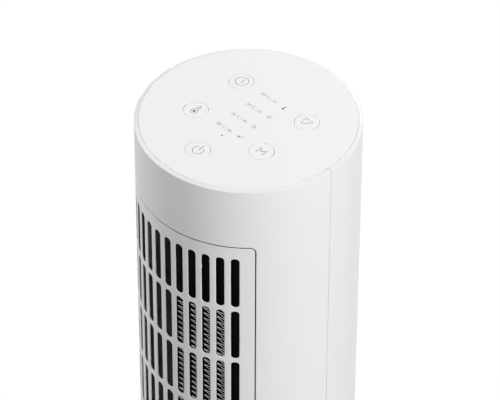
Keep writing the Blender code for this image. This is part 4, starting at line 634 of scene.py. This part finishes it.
# Outlet and intake grilles
outletGrille = {
    "bottom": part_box("front_grille")[0].z,
    "top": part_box("front_grille")[1].z,
    "centreDeg": 0,
    "halfDeg": 48.2,
    "columns": 11,
    "rows": 9,
    "pitchDeg": 7.65,
    "slotWidth": 6.4 * mm,
    "slotCorner": 2.8 * mm,
    "slotEdge": 0.45 * mm,
    "flare": 1.2 * mm,
    "bar": 4.3 * mm,
    "endMargin": 10.7 * mm,
    "corner": 4.0 * mm,
    "edge": 0.3 * mm,
    "depth": 1.4 * mm,
    "across": 10,
    "upward": 10,
}
intakeGrille = {
    **outletGrille,
    "bottom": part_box("rear_grille")[0].z,
    "top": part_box("rear_grille")[1].z,
    "centreDeg": 180,
    "columns": 9,
    "rows": 3,
    "pitchDeg": 9.2,
    "slotWidth": 7.5 * mm,
    "bar": 6.0 * mm,
    "endMargin": 9.0 * mm,
    "upward": 14,
}
addPiece("outletGrille", slottedPanel(outletGrille), "tower", "white_shell", ["front_grille"])
addPiece("intakeGrille", slottedPanel(intakeGrille), "tower", "white_shell", ["rear_grille"])
print("grilles made")

# Dust net behind the intake: a frame with nine windows and a woven net in it
netSpec = {
    **outletGrille,
    "bottom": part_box("dust_filter")[0].z,
    "top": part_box("dust_filter")[1].z,
    "centreDeg": 180,
    "halfDeg": 52.0,
    "columns": 3,
    "rows": 3,
    "bar": 5.0 * mm,
    "endMargin": 5.0 * mm,
    "corner": 1.0 * mm,
    "slotCorner": 1.5 * mm,
    "slotEdge": 0.3 * mm,
    "flare": 0,
    "edge": 0.3 * mm,
    "depth": 1.4 * mm,
    "radius": 80.38 * mm,
    "across": 12,
    "upward": 12,
}
netWidth = 2 * math.radians(netSpec["halfDeg"]) * towerRadius
netSpec["pitchDeg"] = math.degrees((netWidth - netSpec["bar"]) / netSpec["columns"] / towerRadius)
netSpec["slotWidth"] = math.radians(netSpec["pitchDeg"]) * towerRadius - netSpec["bar"]
weave = {
    "pitch": 2.6 * mm,
    "thread": 0.22 * mm,
    "depth": 0.7 * mm,
    "layer": 0.484 * mm,
    "margin": 2.5 * mm,
    "steps": 30,
}


def threadLines(along, height, depth):
    # lines of points on the round of the net, and the way outward and the way sideways at each
    flat = np.stack(np.broadcast_arrays(along, height, depth), -1)
    lines = wrapped(flat, netSpec["centreDeg"], netSpec["radius"])
    outward = lines * [1, 1, 0]
    outward /= np.linalg.norm(outward, axis=-1, keepdims=True)
    return lines, outward, np.cross(outward, [0, 0, 1.0])


def netThreads():
    # standing threads, and lying ones in a second layer behind them
    half = netWidth / 2 - weave["margin"]
    low, high = netSpec["bottom"] + weave["margin"], netSpec["top"] - weave["margin"]
    thread = weave["thread"]
    upright, level = np.arange(-half, half, weave["pitch"]), np.arange(low, high, weave["pitch"])
    lines, outward, sideways = threadLines(upright[:, None], np.array([low, high]), weave["depth"])
    patches = bars(lines, sideways * thread, outward * thread)
    lines, outward, _ = threadLines(np.linspace(-half, half, weave["steps"]), level[:, None],
                                    weave["depth"] + weave["layer"])
    return patches + bars(lines, np.array([0, 0, thread]) + 0 * lines, outward * thread)


addPiece("dustNet", slottedPanel(netSpec) + netThreads(), "tower", "net", ["dust_filter"])
print("dust net made")

# Curved black baffle behind the outlet grille, with its window
baffle = {
    "halfDeg": 50.0,
    "windowHalfDeg": 32.5,
    "windowMargin": 64.2 * mm,
    "radius": 78.5 * mm,
    "depth": 2.0 * mm,
    "edge": 0.4 * mm,
    "across": 44,
    "upward": 24,
}


def bafflePatches():
    # one ring from the baffle's border to its window, closed behind, and wrapped onto a smaller radius
    low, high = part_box("outlet_baffle")[0].z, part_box("outlet_baffle")[1].z
    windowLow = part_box("front_grille")[0].z + baffle["windowMargin"]
    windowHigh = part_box("front_grille")[1].z - baffle["windowMargin"]
    middle, across, upward = (low + high) / 2, baffle["across"], baffle["upward"]

    def window(grown):
        return plainOutline(math.radians(baffle["windowHalfDeg"]) * towerRadius + grown,
                            (windowHigh - windowLow) / 2 + grown, across, upward)

    border = plainOutline(math.radians(baffle["halfDeg"]) * towerRadius, (high - low) / 2, across, upward)
    ring = framed(border, window, baffle["edge"], baffle["depth"], middle=middle)
    return [(wrapped(ring, 0, baffle["radius"]), gridFaces(*ring.shape[:2], wrapRows=True, wrapColumns=True))]


addPiece("outletBaffle", bafflePatches(), "tower", "black_plastic", ["outlet_baffle"])
print("baffle made")

# Heater pack: folded fins between flat tubes
pack = {
    "foldPitch": 5.33 * mm,
    "firstFold": 3.06 * mm,
    "foldSharpness": 0.95,
    "finThickness": 0.5 * mm,
    "stepsPerFold": 24,
    "tubePitch": 14 * mm,
    "tubeThickness": 1.2 * mm,
    "tubeEdge": 0.5 * mm,
    "tubeSteps": 8,
    "fins": 4,
}


def makeHeater():
    # a fold swings from tube to tube as arcsin(sharpness cos turn), a zigzag with round tips
    for number in range(1, pack["fins"] + 1):
        node = f"heater_fin_{number}"
        low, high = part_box(node)
        margin, sharp = pack["finThickness"] / 2, pack["foldSharpness"]
        reach = (high.x - low.x) / 2 - margin
        steps = round((high.z - low.z) / pack["foldPitch"] * pack["stepsPerFold"])
        rise = np.linspace(low.z + margin, high.z - margin, steps)
        turn = (rise - low.z - pack["firstFold"]) / pack["foldPitch"] * 2 * math.pi
        sway = -reach * np.arcsin(sharp * np.cos(turn)) / math.asin(sharp)
        centre = np.stack([(low.x + high.x) / 2 + sway, 0 * sway + (low.y + high.y) / 2, rise], -1)
        across = np.cross(headings(centre, 0), [0, 1.0, 0]) * margin
        deep = np.array([0, (high.y - low.y) / 2, 0]) + 0 * centre
        addPiece(f"foldedFin{number}", bars(centre[None], across[None], deep[None]), "tower", "aluminium",
                 [node], finish=finFinish, sharpDeg=60)

    low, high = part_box("heater_tubes")
    middle = (low + high) / 2
    half, halfDepth = pack["tubeThickness"] / 2, (high.y - low.y) / 2
    outline = roundOutline(half, halfDepth, pack["tubeEdge"], pack["tubeSteps"], pack["tubeSteps"])
    count = len(outline)
    caps = [list(range(count)), list(range(count, 2 * count))[::-1]]
    patches = []
    for x in (np.arange(pack["fins"] + 1) - pack["fins"] / 2) * pack["tubePitch"]:
        ends = np.stack([atDepth(outline + [x, middle.y], z) for z in (low.z + 2 * half, high.z - 2 * half)])
        patches += [(ends, gridFaces(2, count, wrapColumns=True)), (ends, caps)]
    for z in (low.z + half, high.z - half):
        centre = np.array([[[low.x, middle.y, z], [high.x, middle.y, z]]])
        patches += bars(centre, np.array([0, 0, half]) + 0 * centre, np.array([0, halfDepth, 0]) + 0 * centre)
    addPiece("heaterTubes", patches, "tower", "aluminium", ["heater_tubes"], finish=tubeFinish)


makeHeater()
print("heater made")

# Cross-flow wheel: curved blades between rings
wheel = {
    "radius": 28 * mm,
    "chord": 5.8 * mm,
    "blades": 34,
    "rings": 6,
    "ringThickness": 1.6 * mm,
    "discThickness": 2.5 * mm,
    "bladeThickness": 0.8 * mm,
    "sweepDeg": 15,
    "hubRadius": 7 * mm,
    "hubLength": 14 * mm,
    "bore": 2.8 * mm,
    "ringInset": 0.3 * mm,
    "edge": 0.5 * mm,
    "hubFillet": 1 * mm,
    "around": 72,
    "bladeSteps": 7,
}


def makeWheel():
    # two end discs with hubs, rings between them, and blades: a blade's radius grows evenly over the
    # chord, and it turns by sweep times the square of the share of the chord
    low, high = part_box("impeller")
    centre = tuple((low + high).xy / 2)
    bore, rim, hubRim, edge = wheel["bore"], wheel["radius"], wheel["hubRadius"], wheel["edge"]
    patches = []
    for face, inward in ((low.z, 1), (high.z, -1)):
        disc, hub = face + inward * wheel["discThickness"], face + inward * wheel["hubLength"]
        profile = roundedLoop([(bore, face), (rim, face), (rim, disc), (hubRim, disc), (hubRim, hub),
                               (bore, hub)], [0, edge, edge, wheel["hubFillet"], edge, 0])
        patches.append(turnedPatch(profile, wheel["around"], centre))
    faces = np.linspace(low.z + wheel["discThickness"], high.z - wheel["discThickness"], wheel["rings"] + 2)
    outer = rim - wheel["ringInset"]
    inner, half = outer - wheel["chord"], wheel["ringThickness"] / 2
    for height in faces[1:-1]:
        profile = np.array([(inner, height + half), (outer, height + half), (outer, height - half),
                            (inner, height - half)])
        patches.append(turnedPatch(profile, wheel["around"], centre))
    share = np.linspace(0, 1, wheel["bladeSteps"])
    radius = outer - wheel["chord"] * (1 - share)
    start = np.arange(wheel["blades"])[:, None] * 2 * math.pi / wheel["blades"]
    turn = start + math.radians(wheel["sweepDeg"]) * share ** 2
    for number, (bottom, top) in enumerate(zip(faces, faces[1:])):
        # the blades of one section, between two rings or a ring and a disc
        bottom += half if number else 0
        top -= half if number < len(faces) - 2 else 0
        path = np.stack([centre[0] + radius * np.cos(turn), centre[1] + radius * np.sin(turn),
                         0 * turn + (bottom + top) / 2], -1)
        across = np.cross(headings(path, 1), [0, 0, 1.0]) * wheel["bladeThickness"] / 2
        patches += bars(path, across, np.array([0, 0, (top - bottom) / 2]) + 0 * path)
    addPiece("crossFlowWheel", patches, "fan_wheel", "black_plastic", ["impeller"], weld=0.0005 * mm)


makeWheel()
print("fan wheel made")

# Top panel, flush keys and their print
panel = {
    "radius": 80.75 * mm,
    "thickness": 2.4 * mm,
    "edge": 0.12 * mm,
    "keyRadius": 9.2 * mm,
    "groove": 0.26 * mm,
    "printThickness": 0.012 * mm,
    "around": 160,
}
key = {
    "radius": panel["keyRadius"],
    "edge": 0.22 * mm,
    "collarDrop": 0.3 * mm,
    "collarHeight": 1.2 * mm,
    "stemRadius": 2 * mm,
    "round": 0.2 * mm,
    "cornerSteps": 5,
    "around": 72,
}
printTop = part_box("top_panel")[1].z
panelTop = printTop - panel["printThickness"]
keyNodes = {name: "key_" + name for name in ("power", "mode", "swing", "temperature", "timer")}
keyPlaces = {name: tuple((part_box(node)[0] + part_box(node)[1]).xy / 2) for name, node in keyNodes.items()}


def arcLine(centre, radius, firstDeg, lastDeg, steps=28):
    # evenly turned points of an arc: centre plus radius cos turn, radius sin turn
    turn = np.radians(np.linspace(firstDeg, lastDeg, steps))
    return np.stack([centre[0] + radius * np.cos(turn), centre[1] + radius * np.sin(turn)], -1)


def placeCurve(name, curve, place, body, slotName, replaced=(), **finishing):
    guide = bpy.data.objects.new("guide", curve)
    bpy.context.scene.collection.objects.link(guide)
    mesh = bpy.data.meshes.new_from_object(guide.evaluated_get(bpy.context.evaluated_depsgraph_get()))
    bpy.data.objects.remove(guide)
    mesh.name = name
    mesh.transform(Matrix.Translation(place))
    placeMesh(name, mesh, body, slotName, replaced, weld=0.0008 * mm, **finishing)


def makePanel():
    # a flat disc with a round hole for each key, thickened and with its edges bevelled by the curve
    curve = bpy.data.curves.new("panelOutline", "CURVE")
    curve.dimensions = "2D"
    curve.fill_mode = "BOTH"
    curve.extrude = panel["thickness"] / 2 - panel["edge"]
    curve.bevel_depth = panel["edge"]
    curve.bevel_resolution = 2
    curve.offset = -panel["edge"]
    hole = panel["keyRadius"] + panel["groove"]
    outlines = [arcLine((0, 0), panel["radius"], 0, 360, panel["around"] + 1)]
    outlines += [arcLine(place, hole, 0, -360, key["around"] + 1) for place in keyPlaces.values()]
    for outline in outlines:
        spline = curve.splines.new("POLY")
        count = len(outline) - 1
        spline.points.add(count - 1)
        flat = np.concatenate([outline[:-1], np.zeros((count, 1)), np.ones((count, 1))], -1)
        spline.points.foreach_set("co", flat.astype(np.float32).ravel())
        spline.use_cyclic_u = True
    placeCurve("topPlate", curve, (0, 0, panelTop - panel["thickness"] / 2), "tower", "white_gloss",
               ["top_panel"], sharpDeg=12)


def makeKeys():
    # cap, collar under the panel and stem, turned about the key's own axis
    radius, stem, soft = key["radius"], key["stemRadius"], key["round"]
    for name, node in keyNodes.items():
        low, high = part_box(node)
        reach = (high.x - low.x) / 2
        under = high.z - panel["thickness"] - key["collarDrop"]
        foot = under - key["collarHeight"]
        profile = roundCorners([(0, panelTop), (radius, panelTop), (radius, under), (reach, under),
                                (reach, foot), (stem, foot), (stem, low.z), (0, low.z)],
                               [key["edge"], soft, soft, soft, 0, soft], key["cornerSteps"])
        guard = np.array([[radius - 2 * key["edge"], panelTop]])
        profile = np.concatenate([profile[:1], guard, profile[1:]])
        addPiece(name + "Key", [turnedPatch(profile, key["around"], keyPlaces[name], closed=False)],
                 name + "_key", "white_gloss", [node])


makePanel()
makeKeys()
print("top panel and keys made")

# Strokes of the print, in millimetres from the middle of their key: lines of points
strokes = {"width": 0.42 * mm, "bold": 0.56 * mm, "leastMitre": 0.5, "dotSteps": 20, "weld": 0.0005 * mm}
keySigns = {
    "power": [arcLine((0.5, -0.3), 4.2, 124, 416), np.array([(0.5, 0.2), (0.5, 5.7)])],
    "mode": [np.array([(-2.9, -3.1), (-2.9, 2.9), (0.0, -0.7), (2.9, 2.9), (2.9, -3.1)])],
    "swing": [np.array([(-3.4, -0.7), (-3.7, 3.3), (0.3, 3.0)]), arcLine((-3.7, 3.4), 6.6, -82, -8)],
    "temperature": [arcLine((0.1, -1.9), 2.7, 112, 428), arcLine((0.1, 3.9), 0.95, 0, 180, 12),
                    np.array([(-0.85, 3.9), (-0.85, 0.7)]), np.array([(1.05, 3.9), (1.05, 0.7)])],
    "timer": [arcLine((0.2, 0.5), 5.0, 0, 360, 48), np.array([(-0.1, 3.0), (1.6, -1.5)])],
}
signDots = {"temperature": [((0.1, -1.9), 1.25)], "swing": [((-2.8, -3.1), 0.55), ((2.8, 2.5), 0.55)]}


def strokePatch(line, place, width):
    # a flat ribbon: each point steps half a width to both sides, square to the line, mitred at bends;
    # the line is in millimetres from the place
    line = np.asarray(line, float) * mm + place
    along = np.diff(line, axis=0)
    along /= np.linalg.norm(along, axis=-1, keepdims=True)
    before, after = np.concatenate([along[:1], along]), np.concatenate([along, along[-1:]])
    square = np.stack([-(before + after)[:, 1], (before + after)[:, 0]], -1)
    square /= np.linalg.norm(square, axis=-1, keepdims=True)
    mitre = np.sum(square * np.stack([-after[:, 1], after[:, 0]], -1), -1, keepdims=True)
    step = square * width / 2 / np.maximum(mitre, strokes["leastMitre"])
    lift = panel["printThickness"] / 2
    centre = atDepth(line, printTop - lift)
    return bars(centre[None], atDepth(step, 0)[None], (np.array([0, 0, lift]) + 0 * centre)[None])


def dotPatch(dot, place):
    # a flat round spot: its middle, in millimetres from the place, and its radius, in millimetres
    middle, radius = np.array(dot[0]) * mm + place, dot[1] * mm
    profile = np.array([(0, printTop), (radius, printTop), (radius, panelTop), (0, panelTop)])
    return turnedPatch(profile, strokes["dotSteps"], middle, closed=False)


def addPrint(name, patches, body):
    addPiece(name, patches, body, "white_gloss", finish=inkFinish, weld=strokes["weld"])


def makeSigns():
    for name, lines in keySigns.items():
        place = np.array(keyPlaces[name])
        patches = [dotPatch(dot, place) for dot in signDots.get(name, [])]
        for line in lines:
            bold = name == "mode" or len(line) == 2
            patches += strokePatch(line, place, strokes["bold" if bold else "width"])
        addPrint(name + "Sign", patches, name + "_key")


# The four printed rows: words, left end and height, in millimetres, with a small mark beside each
legend = {
    "rows": [("20°C | 1h", -13.5, 26.8), ("24°C | 2h", -13.0, 10.9), ("26°C | 4h", -12.7, -4.8),
             ("28°C | 8h", -12.7, -20.5)],
    "size": 3.9,
    "letterSpace": 1.03,
    "thinning": -0.03 * mm,
    "iconX": 10.4,
    "iconWidth": 0.36 * mm,
    "tube": [(0, -1.6), (0, 1.7)],
    "tubeWidth": 0.8 * mm,
    "bulb": ((0, -1.7), 0.85),
    "sunRadius": 1.15,
    "rays": (1.5, 1.95),
    "starArm": 1.5,
    "starDot": ((2.3, 1.3), 0.5),
    "lampDot": ((-9.7, -7.8), 0.75),
}


def makeWords():
    for number, (words, left, y) in enumerate(legend["rows"], 1):
        text = bpy.data.curves.new("legendText", "FONT")
        text.body = words
        text.size = legend["size"] * mm
        text.space_character = legend["letterSpace"]
        text.align_x = "LEFT"
        text.align_y = "CENTER"
        text.extrude = panel["printThickness"] / 2
        text.offset = legend["thinning"]
        text.resolution_u = 3
        placeCurve(f"legend{number}", text, (left * mm, y * mm, (panelTop + printTop) / 2), "tower",
                   "white_gloss", finish=inkFinish)


def spokes(near, far, turnsDeg):
    # a straight line from near to far along each of the directions
    return [np.outer([near, far], [math.cos(turn), math.sin(turn)]) for turn in np.radians(turnsDeg)]


def makeIcons():
    thermometer, *suns, star = [np.array([legend["iconX"], y]) * mm for _, _, y in legend["rows"]]
    sunLines = [arcLine((0, 0), legend["sunRadius"], 0, 360, 24)]
    sunLines += spokes(*legend["rays"], range(0, 360, 60))
    drawn = [(line, sun) for sun in suns for line in sunLines]
    drawn += [(line, star) for line in spokes(-legend["starArm"], legend["starArm"], (0, 60, 120))]
    patches = strokePatch(legend["tube"], thermometer, legend["tubeWidth"])
    for line, place in drawn:
        patches += strokePatch(line, place, legend["iconWidth"])
    for dot, place in (("bulb", thermometer), ("starDot", star), ("lampDot", star)):
        patches.append(dotPatch(legend[dot], place))
    addPrint("legendIcons", patches, "tower")


makeSigns()
makeWords()
makeIcons()
print("print made")

# Base: round shell with a soft shoulder, and what carries it
base = {
    "radius": 95.5 * mm,
    "bottom": 3.0 * mm,
    "sideTop": 19.5 * mm,
    "top": 33.0 * mm,
    "flatRadius": 62 * mm,
    "wall": 2.8 * mm,
    "holeRadius": 14.3 * mm,
    "glandRadius": 5.75 * mm,
    "glandHeight": 13.1 * mm,
    "glandEdge": 0.25 * mm,
    "frameHalf": 6.4 * mm,
    "edge": 0.5 * mm,
    "steps": 16,
    "frameSteps": 8,
    "around": 64,
}


def shoulderLine(radius, sideTop, top, steps):
    # a quarter ellipse from the side up to the flat top
    turn = np.radians(np.linspace(0, 90, steps + 1))
    return np.stack([base["flatRadius"] + (radius - base["flatRadius"]) * np.cos(turn),
                     sideTop + (top - sideTop) * np.sin(turn)], -1)


def makeBase():
    # the profile goes up the side, over the shoulder to the lip round the post and back inside; it is
    # carried all the way round, with a framed round hole for the cord's bush at the back
    radius, wall, bottom, hole = base["radius"], base["wall"], base["bottom"], base["holeRadius"]
    middle, half, inner = base["glandHeight"], base["frameHalf"], base["radius"] - base["wall"]
    rise = np.linspace(middle - half, middle + half, base["frameSteps"] + 1)
    outside = shoulderLine(radius, base["sideTop"], base["top"], base["steps"])
    inside = shoulderLine(inner, base["sideTop"], base["top"] - wall, base["steps"])
    edges = [base["edge"]] * 2
    lip = roundCorners([outside[-1], (hole, base["top"]), (hole, base["top"] - wall), inside[-1]], edges)
    upper = np.concatenate([outside[1:], lip[1:-1], inside[::-1][:-1]])
    under = [(inner, rise[0]), (inner, bottom), (radius, bottom), (radius, rise[0])]
    lower = roundCorners(under, edges)[1:-1]

    def outline(grown):
        size = base["glandRadius"] + grown
        return roundOutline(size, size, size, base["frameSteps"], base["frameSteps"])

    side = np.linspace(-math.pi * radius, -half, base["around"] + 1)
    lines = np.concatenate([side, np.linspace(-half, half, base["frameSteps"] + 1)[1:-1], -side[::-1][:-1]])
    window = {"halfWidth": half, "halfHeight": half, "middle": middle, "across": base["frameSteps"],
              "upward": base["frameSteps"], "outline": outline, "edge": base["glandEdge"], "wall": wall}
    addPiece("baseShell", windowedShell(rise, upper, lower, radius, 180, window, lines, True), "base",
             "white_shell", ["base_shell"])


makeBase()

# Under the base shell: plate with a shallow ring, four feet, glide ring and cord bush. The rings of the
# plate and of the feet are shares of their reach; the radii follow the corners of each profile in order.
underside = {
    "plateRing": (0.36, 0.62),
    "plateRingDepth": 0.8 * mm,
    "plateRadii": [0.4 * mm, 0.6 * mm, 0.3 * mm, 0.3 * mm, 0.3 * mm, 0.3 * mm],
    "footRing": (0.6, 0.72),
    "footHollow": 0.5 * mm,
    "footRadii": [0.3 * mm, 0.8 * mm, 0.2 * mm, 0.2 * mm],
    "glideBore": 34 * mm,
    "glideRadii": [0.4 * mm] * 4,
    "bushBore": 4.0 * mm,
    "bushNeck": 5.5 * mm,
    "bushFlange": 91.5 * mm,
    "bushFlangeThickness": 1.5 * mm,
    "bushRadii": [0.5 * mm, 0.5 * mm, 0, 0.3 * mm, 0.3 * mm, 0, 0.3 * mm, 0.3 * mm],
    "around": 96,
    "footAround": 40,
    "bushAround": 48,
}


def makeUnderside():
    # all of these are turned profiles; the bush's is turned upright and then laid along y
    low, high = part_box("base_plate")
    reach, ringTop = high.x, low.z + underside["plateRingDepth"]
    ringIn, ringOut = [reach * share for share in underside["plateRing"]]
    profile = roundCorners([(0, high.z), (reach, high.z), (reach, low.z), (ringOut, low.z),
                            (ringOut, ringTop), (ringIn, ringTop), (ringIn, low.z), (0, low.z)],
                           underside["plateRadii"])
    addPiece("basePlate", [turnedPatch(profile, underside["around"], closed=False)], "base", "grey_plastic",
             ["base_plate"])
    for number in range(1, 5):
        low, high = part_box(f"rubber_foot_{number}")
        centre, reach = tuple((low + high).xy / 2), (high.x - low.x) / 2
        hollowIn, hollowOut = [reach * share for share in underside["footRing"]]
        hollowTop = low.z + underside["footHollow"]
        profile = roundCorners([(0, high.z), (reach, high.z), (reach, low.z), (hollowOut, low.z),
                                (hollowIn, hollowTop), (0, hollowTop)], underside["footRadii"])
        addPiece(f"foot{number}", [turnedPatch(profile, underside["footAround"], centre, closed=False)],
                 "base", "rubber", [f"rubber_foot_{number}"])
    low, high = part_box("glide_ring")
    bore = underside["glideBore"]
    profile = roundedLoop([(bore, high.z), (high.x, high.z), (high.x, low.z), (bore, low.z)],
                          underside["glideRadii"])
    addPiece("glideRing", [turnedPatch(profile, underside["around"])], "base", "cream_plastic",
             ["glide_ring"])
    low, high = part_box("cord_gland")
    bore, neck, flange = underside["bushBore"], underside["bushNeck"], underside["bushFlange"]
    inside = flange - underside["bushFlangeThickness"]
    profile = roundedLoop([(bore, high.y), (neck, high.y), (neck, flange), (high.x, flange), (high.x, inside),
                           (neck, inside), (neck, low.y), (bore, low.y)], underside["bushRadii"])
    points, faces = turnedPatch(profile, underside["bushAround"])
    lying = np.stack([points[..., 0], points[..., 2], (low.z + high.z) / 2 + points[..., 1]], -1)
    addPiece("cordBush", [(lying, faces)], "base", "rubber", ["cord_gland"])


makeUnderside()
print("base made")

# Studio: pale floor, five soft lights
studio = {
    "floorSize": 16.0,
    "floorTone": 0.36,
    "floorGlow": 1.1,
    "floorShare": 0.88,
    "floorRoughness": 0.9,
    "floorClouds": 1.5,
    "floorSpread": 1.02,
    "white": (1, 1, 1, 1),
    "worldGlow": 0.04,
    "lightDistance": 3.6,
    "lightSize": 1.8,
    "lights": {
        "rightLight": {"turnDeg": 96, "riseDeg": 26, "power": 95},
        "leftLight": {"turnDeg": -75, "riseDeg": 36, "power": 66},
        "fillLight": {"turnDeg": 28, "riseDeg": 26, "power": 30},
        "backLight": {"turnDeg": -155, "riseDeg": 24, "power": 50},
        "topLight": {"turnDeg": 0, "riseDeg": 88, "power": 13},
    },
    "aim": (0, 0, 0.45),
}


def makeFloor():
    finish = Finish("floorWhite")
    paper = (studio["floorTone"],) * 3
    colours = finish.blend(finish.noise(studio["floorClouds"]), paper, tone(paper, studio["floorSpread"]))
    finish.set(Base_Color=colours, Roughness=studio["floorRoughness"], Specular_IOR_Level=0.0)
    glow = finish.node("ShaderNodeEmission", None,
                       {"Color": studio["white"], "Strength": studio["floorGlow"]})
    finish.shownAs(glow, "Material Output", studio["floorShare"])
    bpy.ops.mesh.primitive_plane_add(size=studio["floorSize"])
    floor = bpy.context.object
    floor.name = "studioFloor"
    floor.data.materials.append(finish.owner)


def makeWorld():
    finish = Finish("studioWorld", "worlds", "Background")
    bpy.context.scene.world = finish.set(Color=studio["white"], Strength=studio["worldGlow"])
    shown = finish.node("ShaderNodeBackground", None, {"Color": studio["white"], "Strength": 1.0})
    finish.shownAs(shown, "World Output")


def makeLights():
    for name, light in studio["lights"].items():
        lamp = bpy.data.lights.new(name, "AREA")
        lamp.shape = "DISK"
        lamp.size = studio["lightSize"]
        lamp.energy = light["power"]
        holder = bpy.data.objects.new(name, lamp)
        bpy.context.scene.collection.objects.link(holder)
        turn, rise = math.radians(light["turnDeg"]), math.radians(light["riseDeg"])
        away = Vector((math.sin(turn) * math.cos(rise), -math.cos(turn) * math.cos(rise), math.sin(rise)))
        holder.location = Vector(studio["aim"]) + studio["lightDistance"] * away
        holder.rotation_euler = (-away).to_track_quat("-Z", "Y").to_euler()


makeFloor()
makeWorld()
makeLights()
bpy.context.scene.view_settings.view_transform = "Standard"
print("studio made")
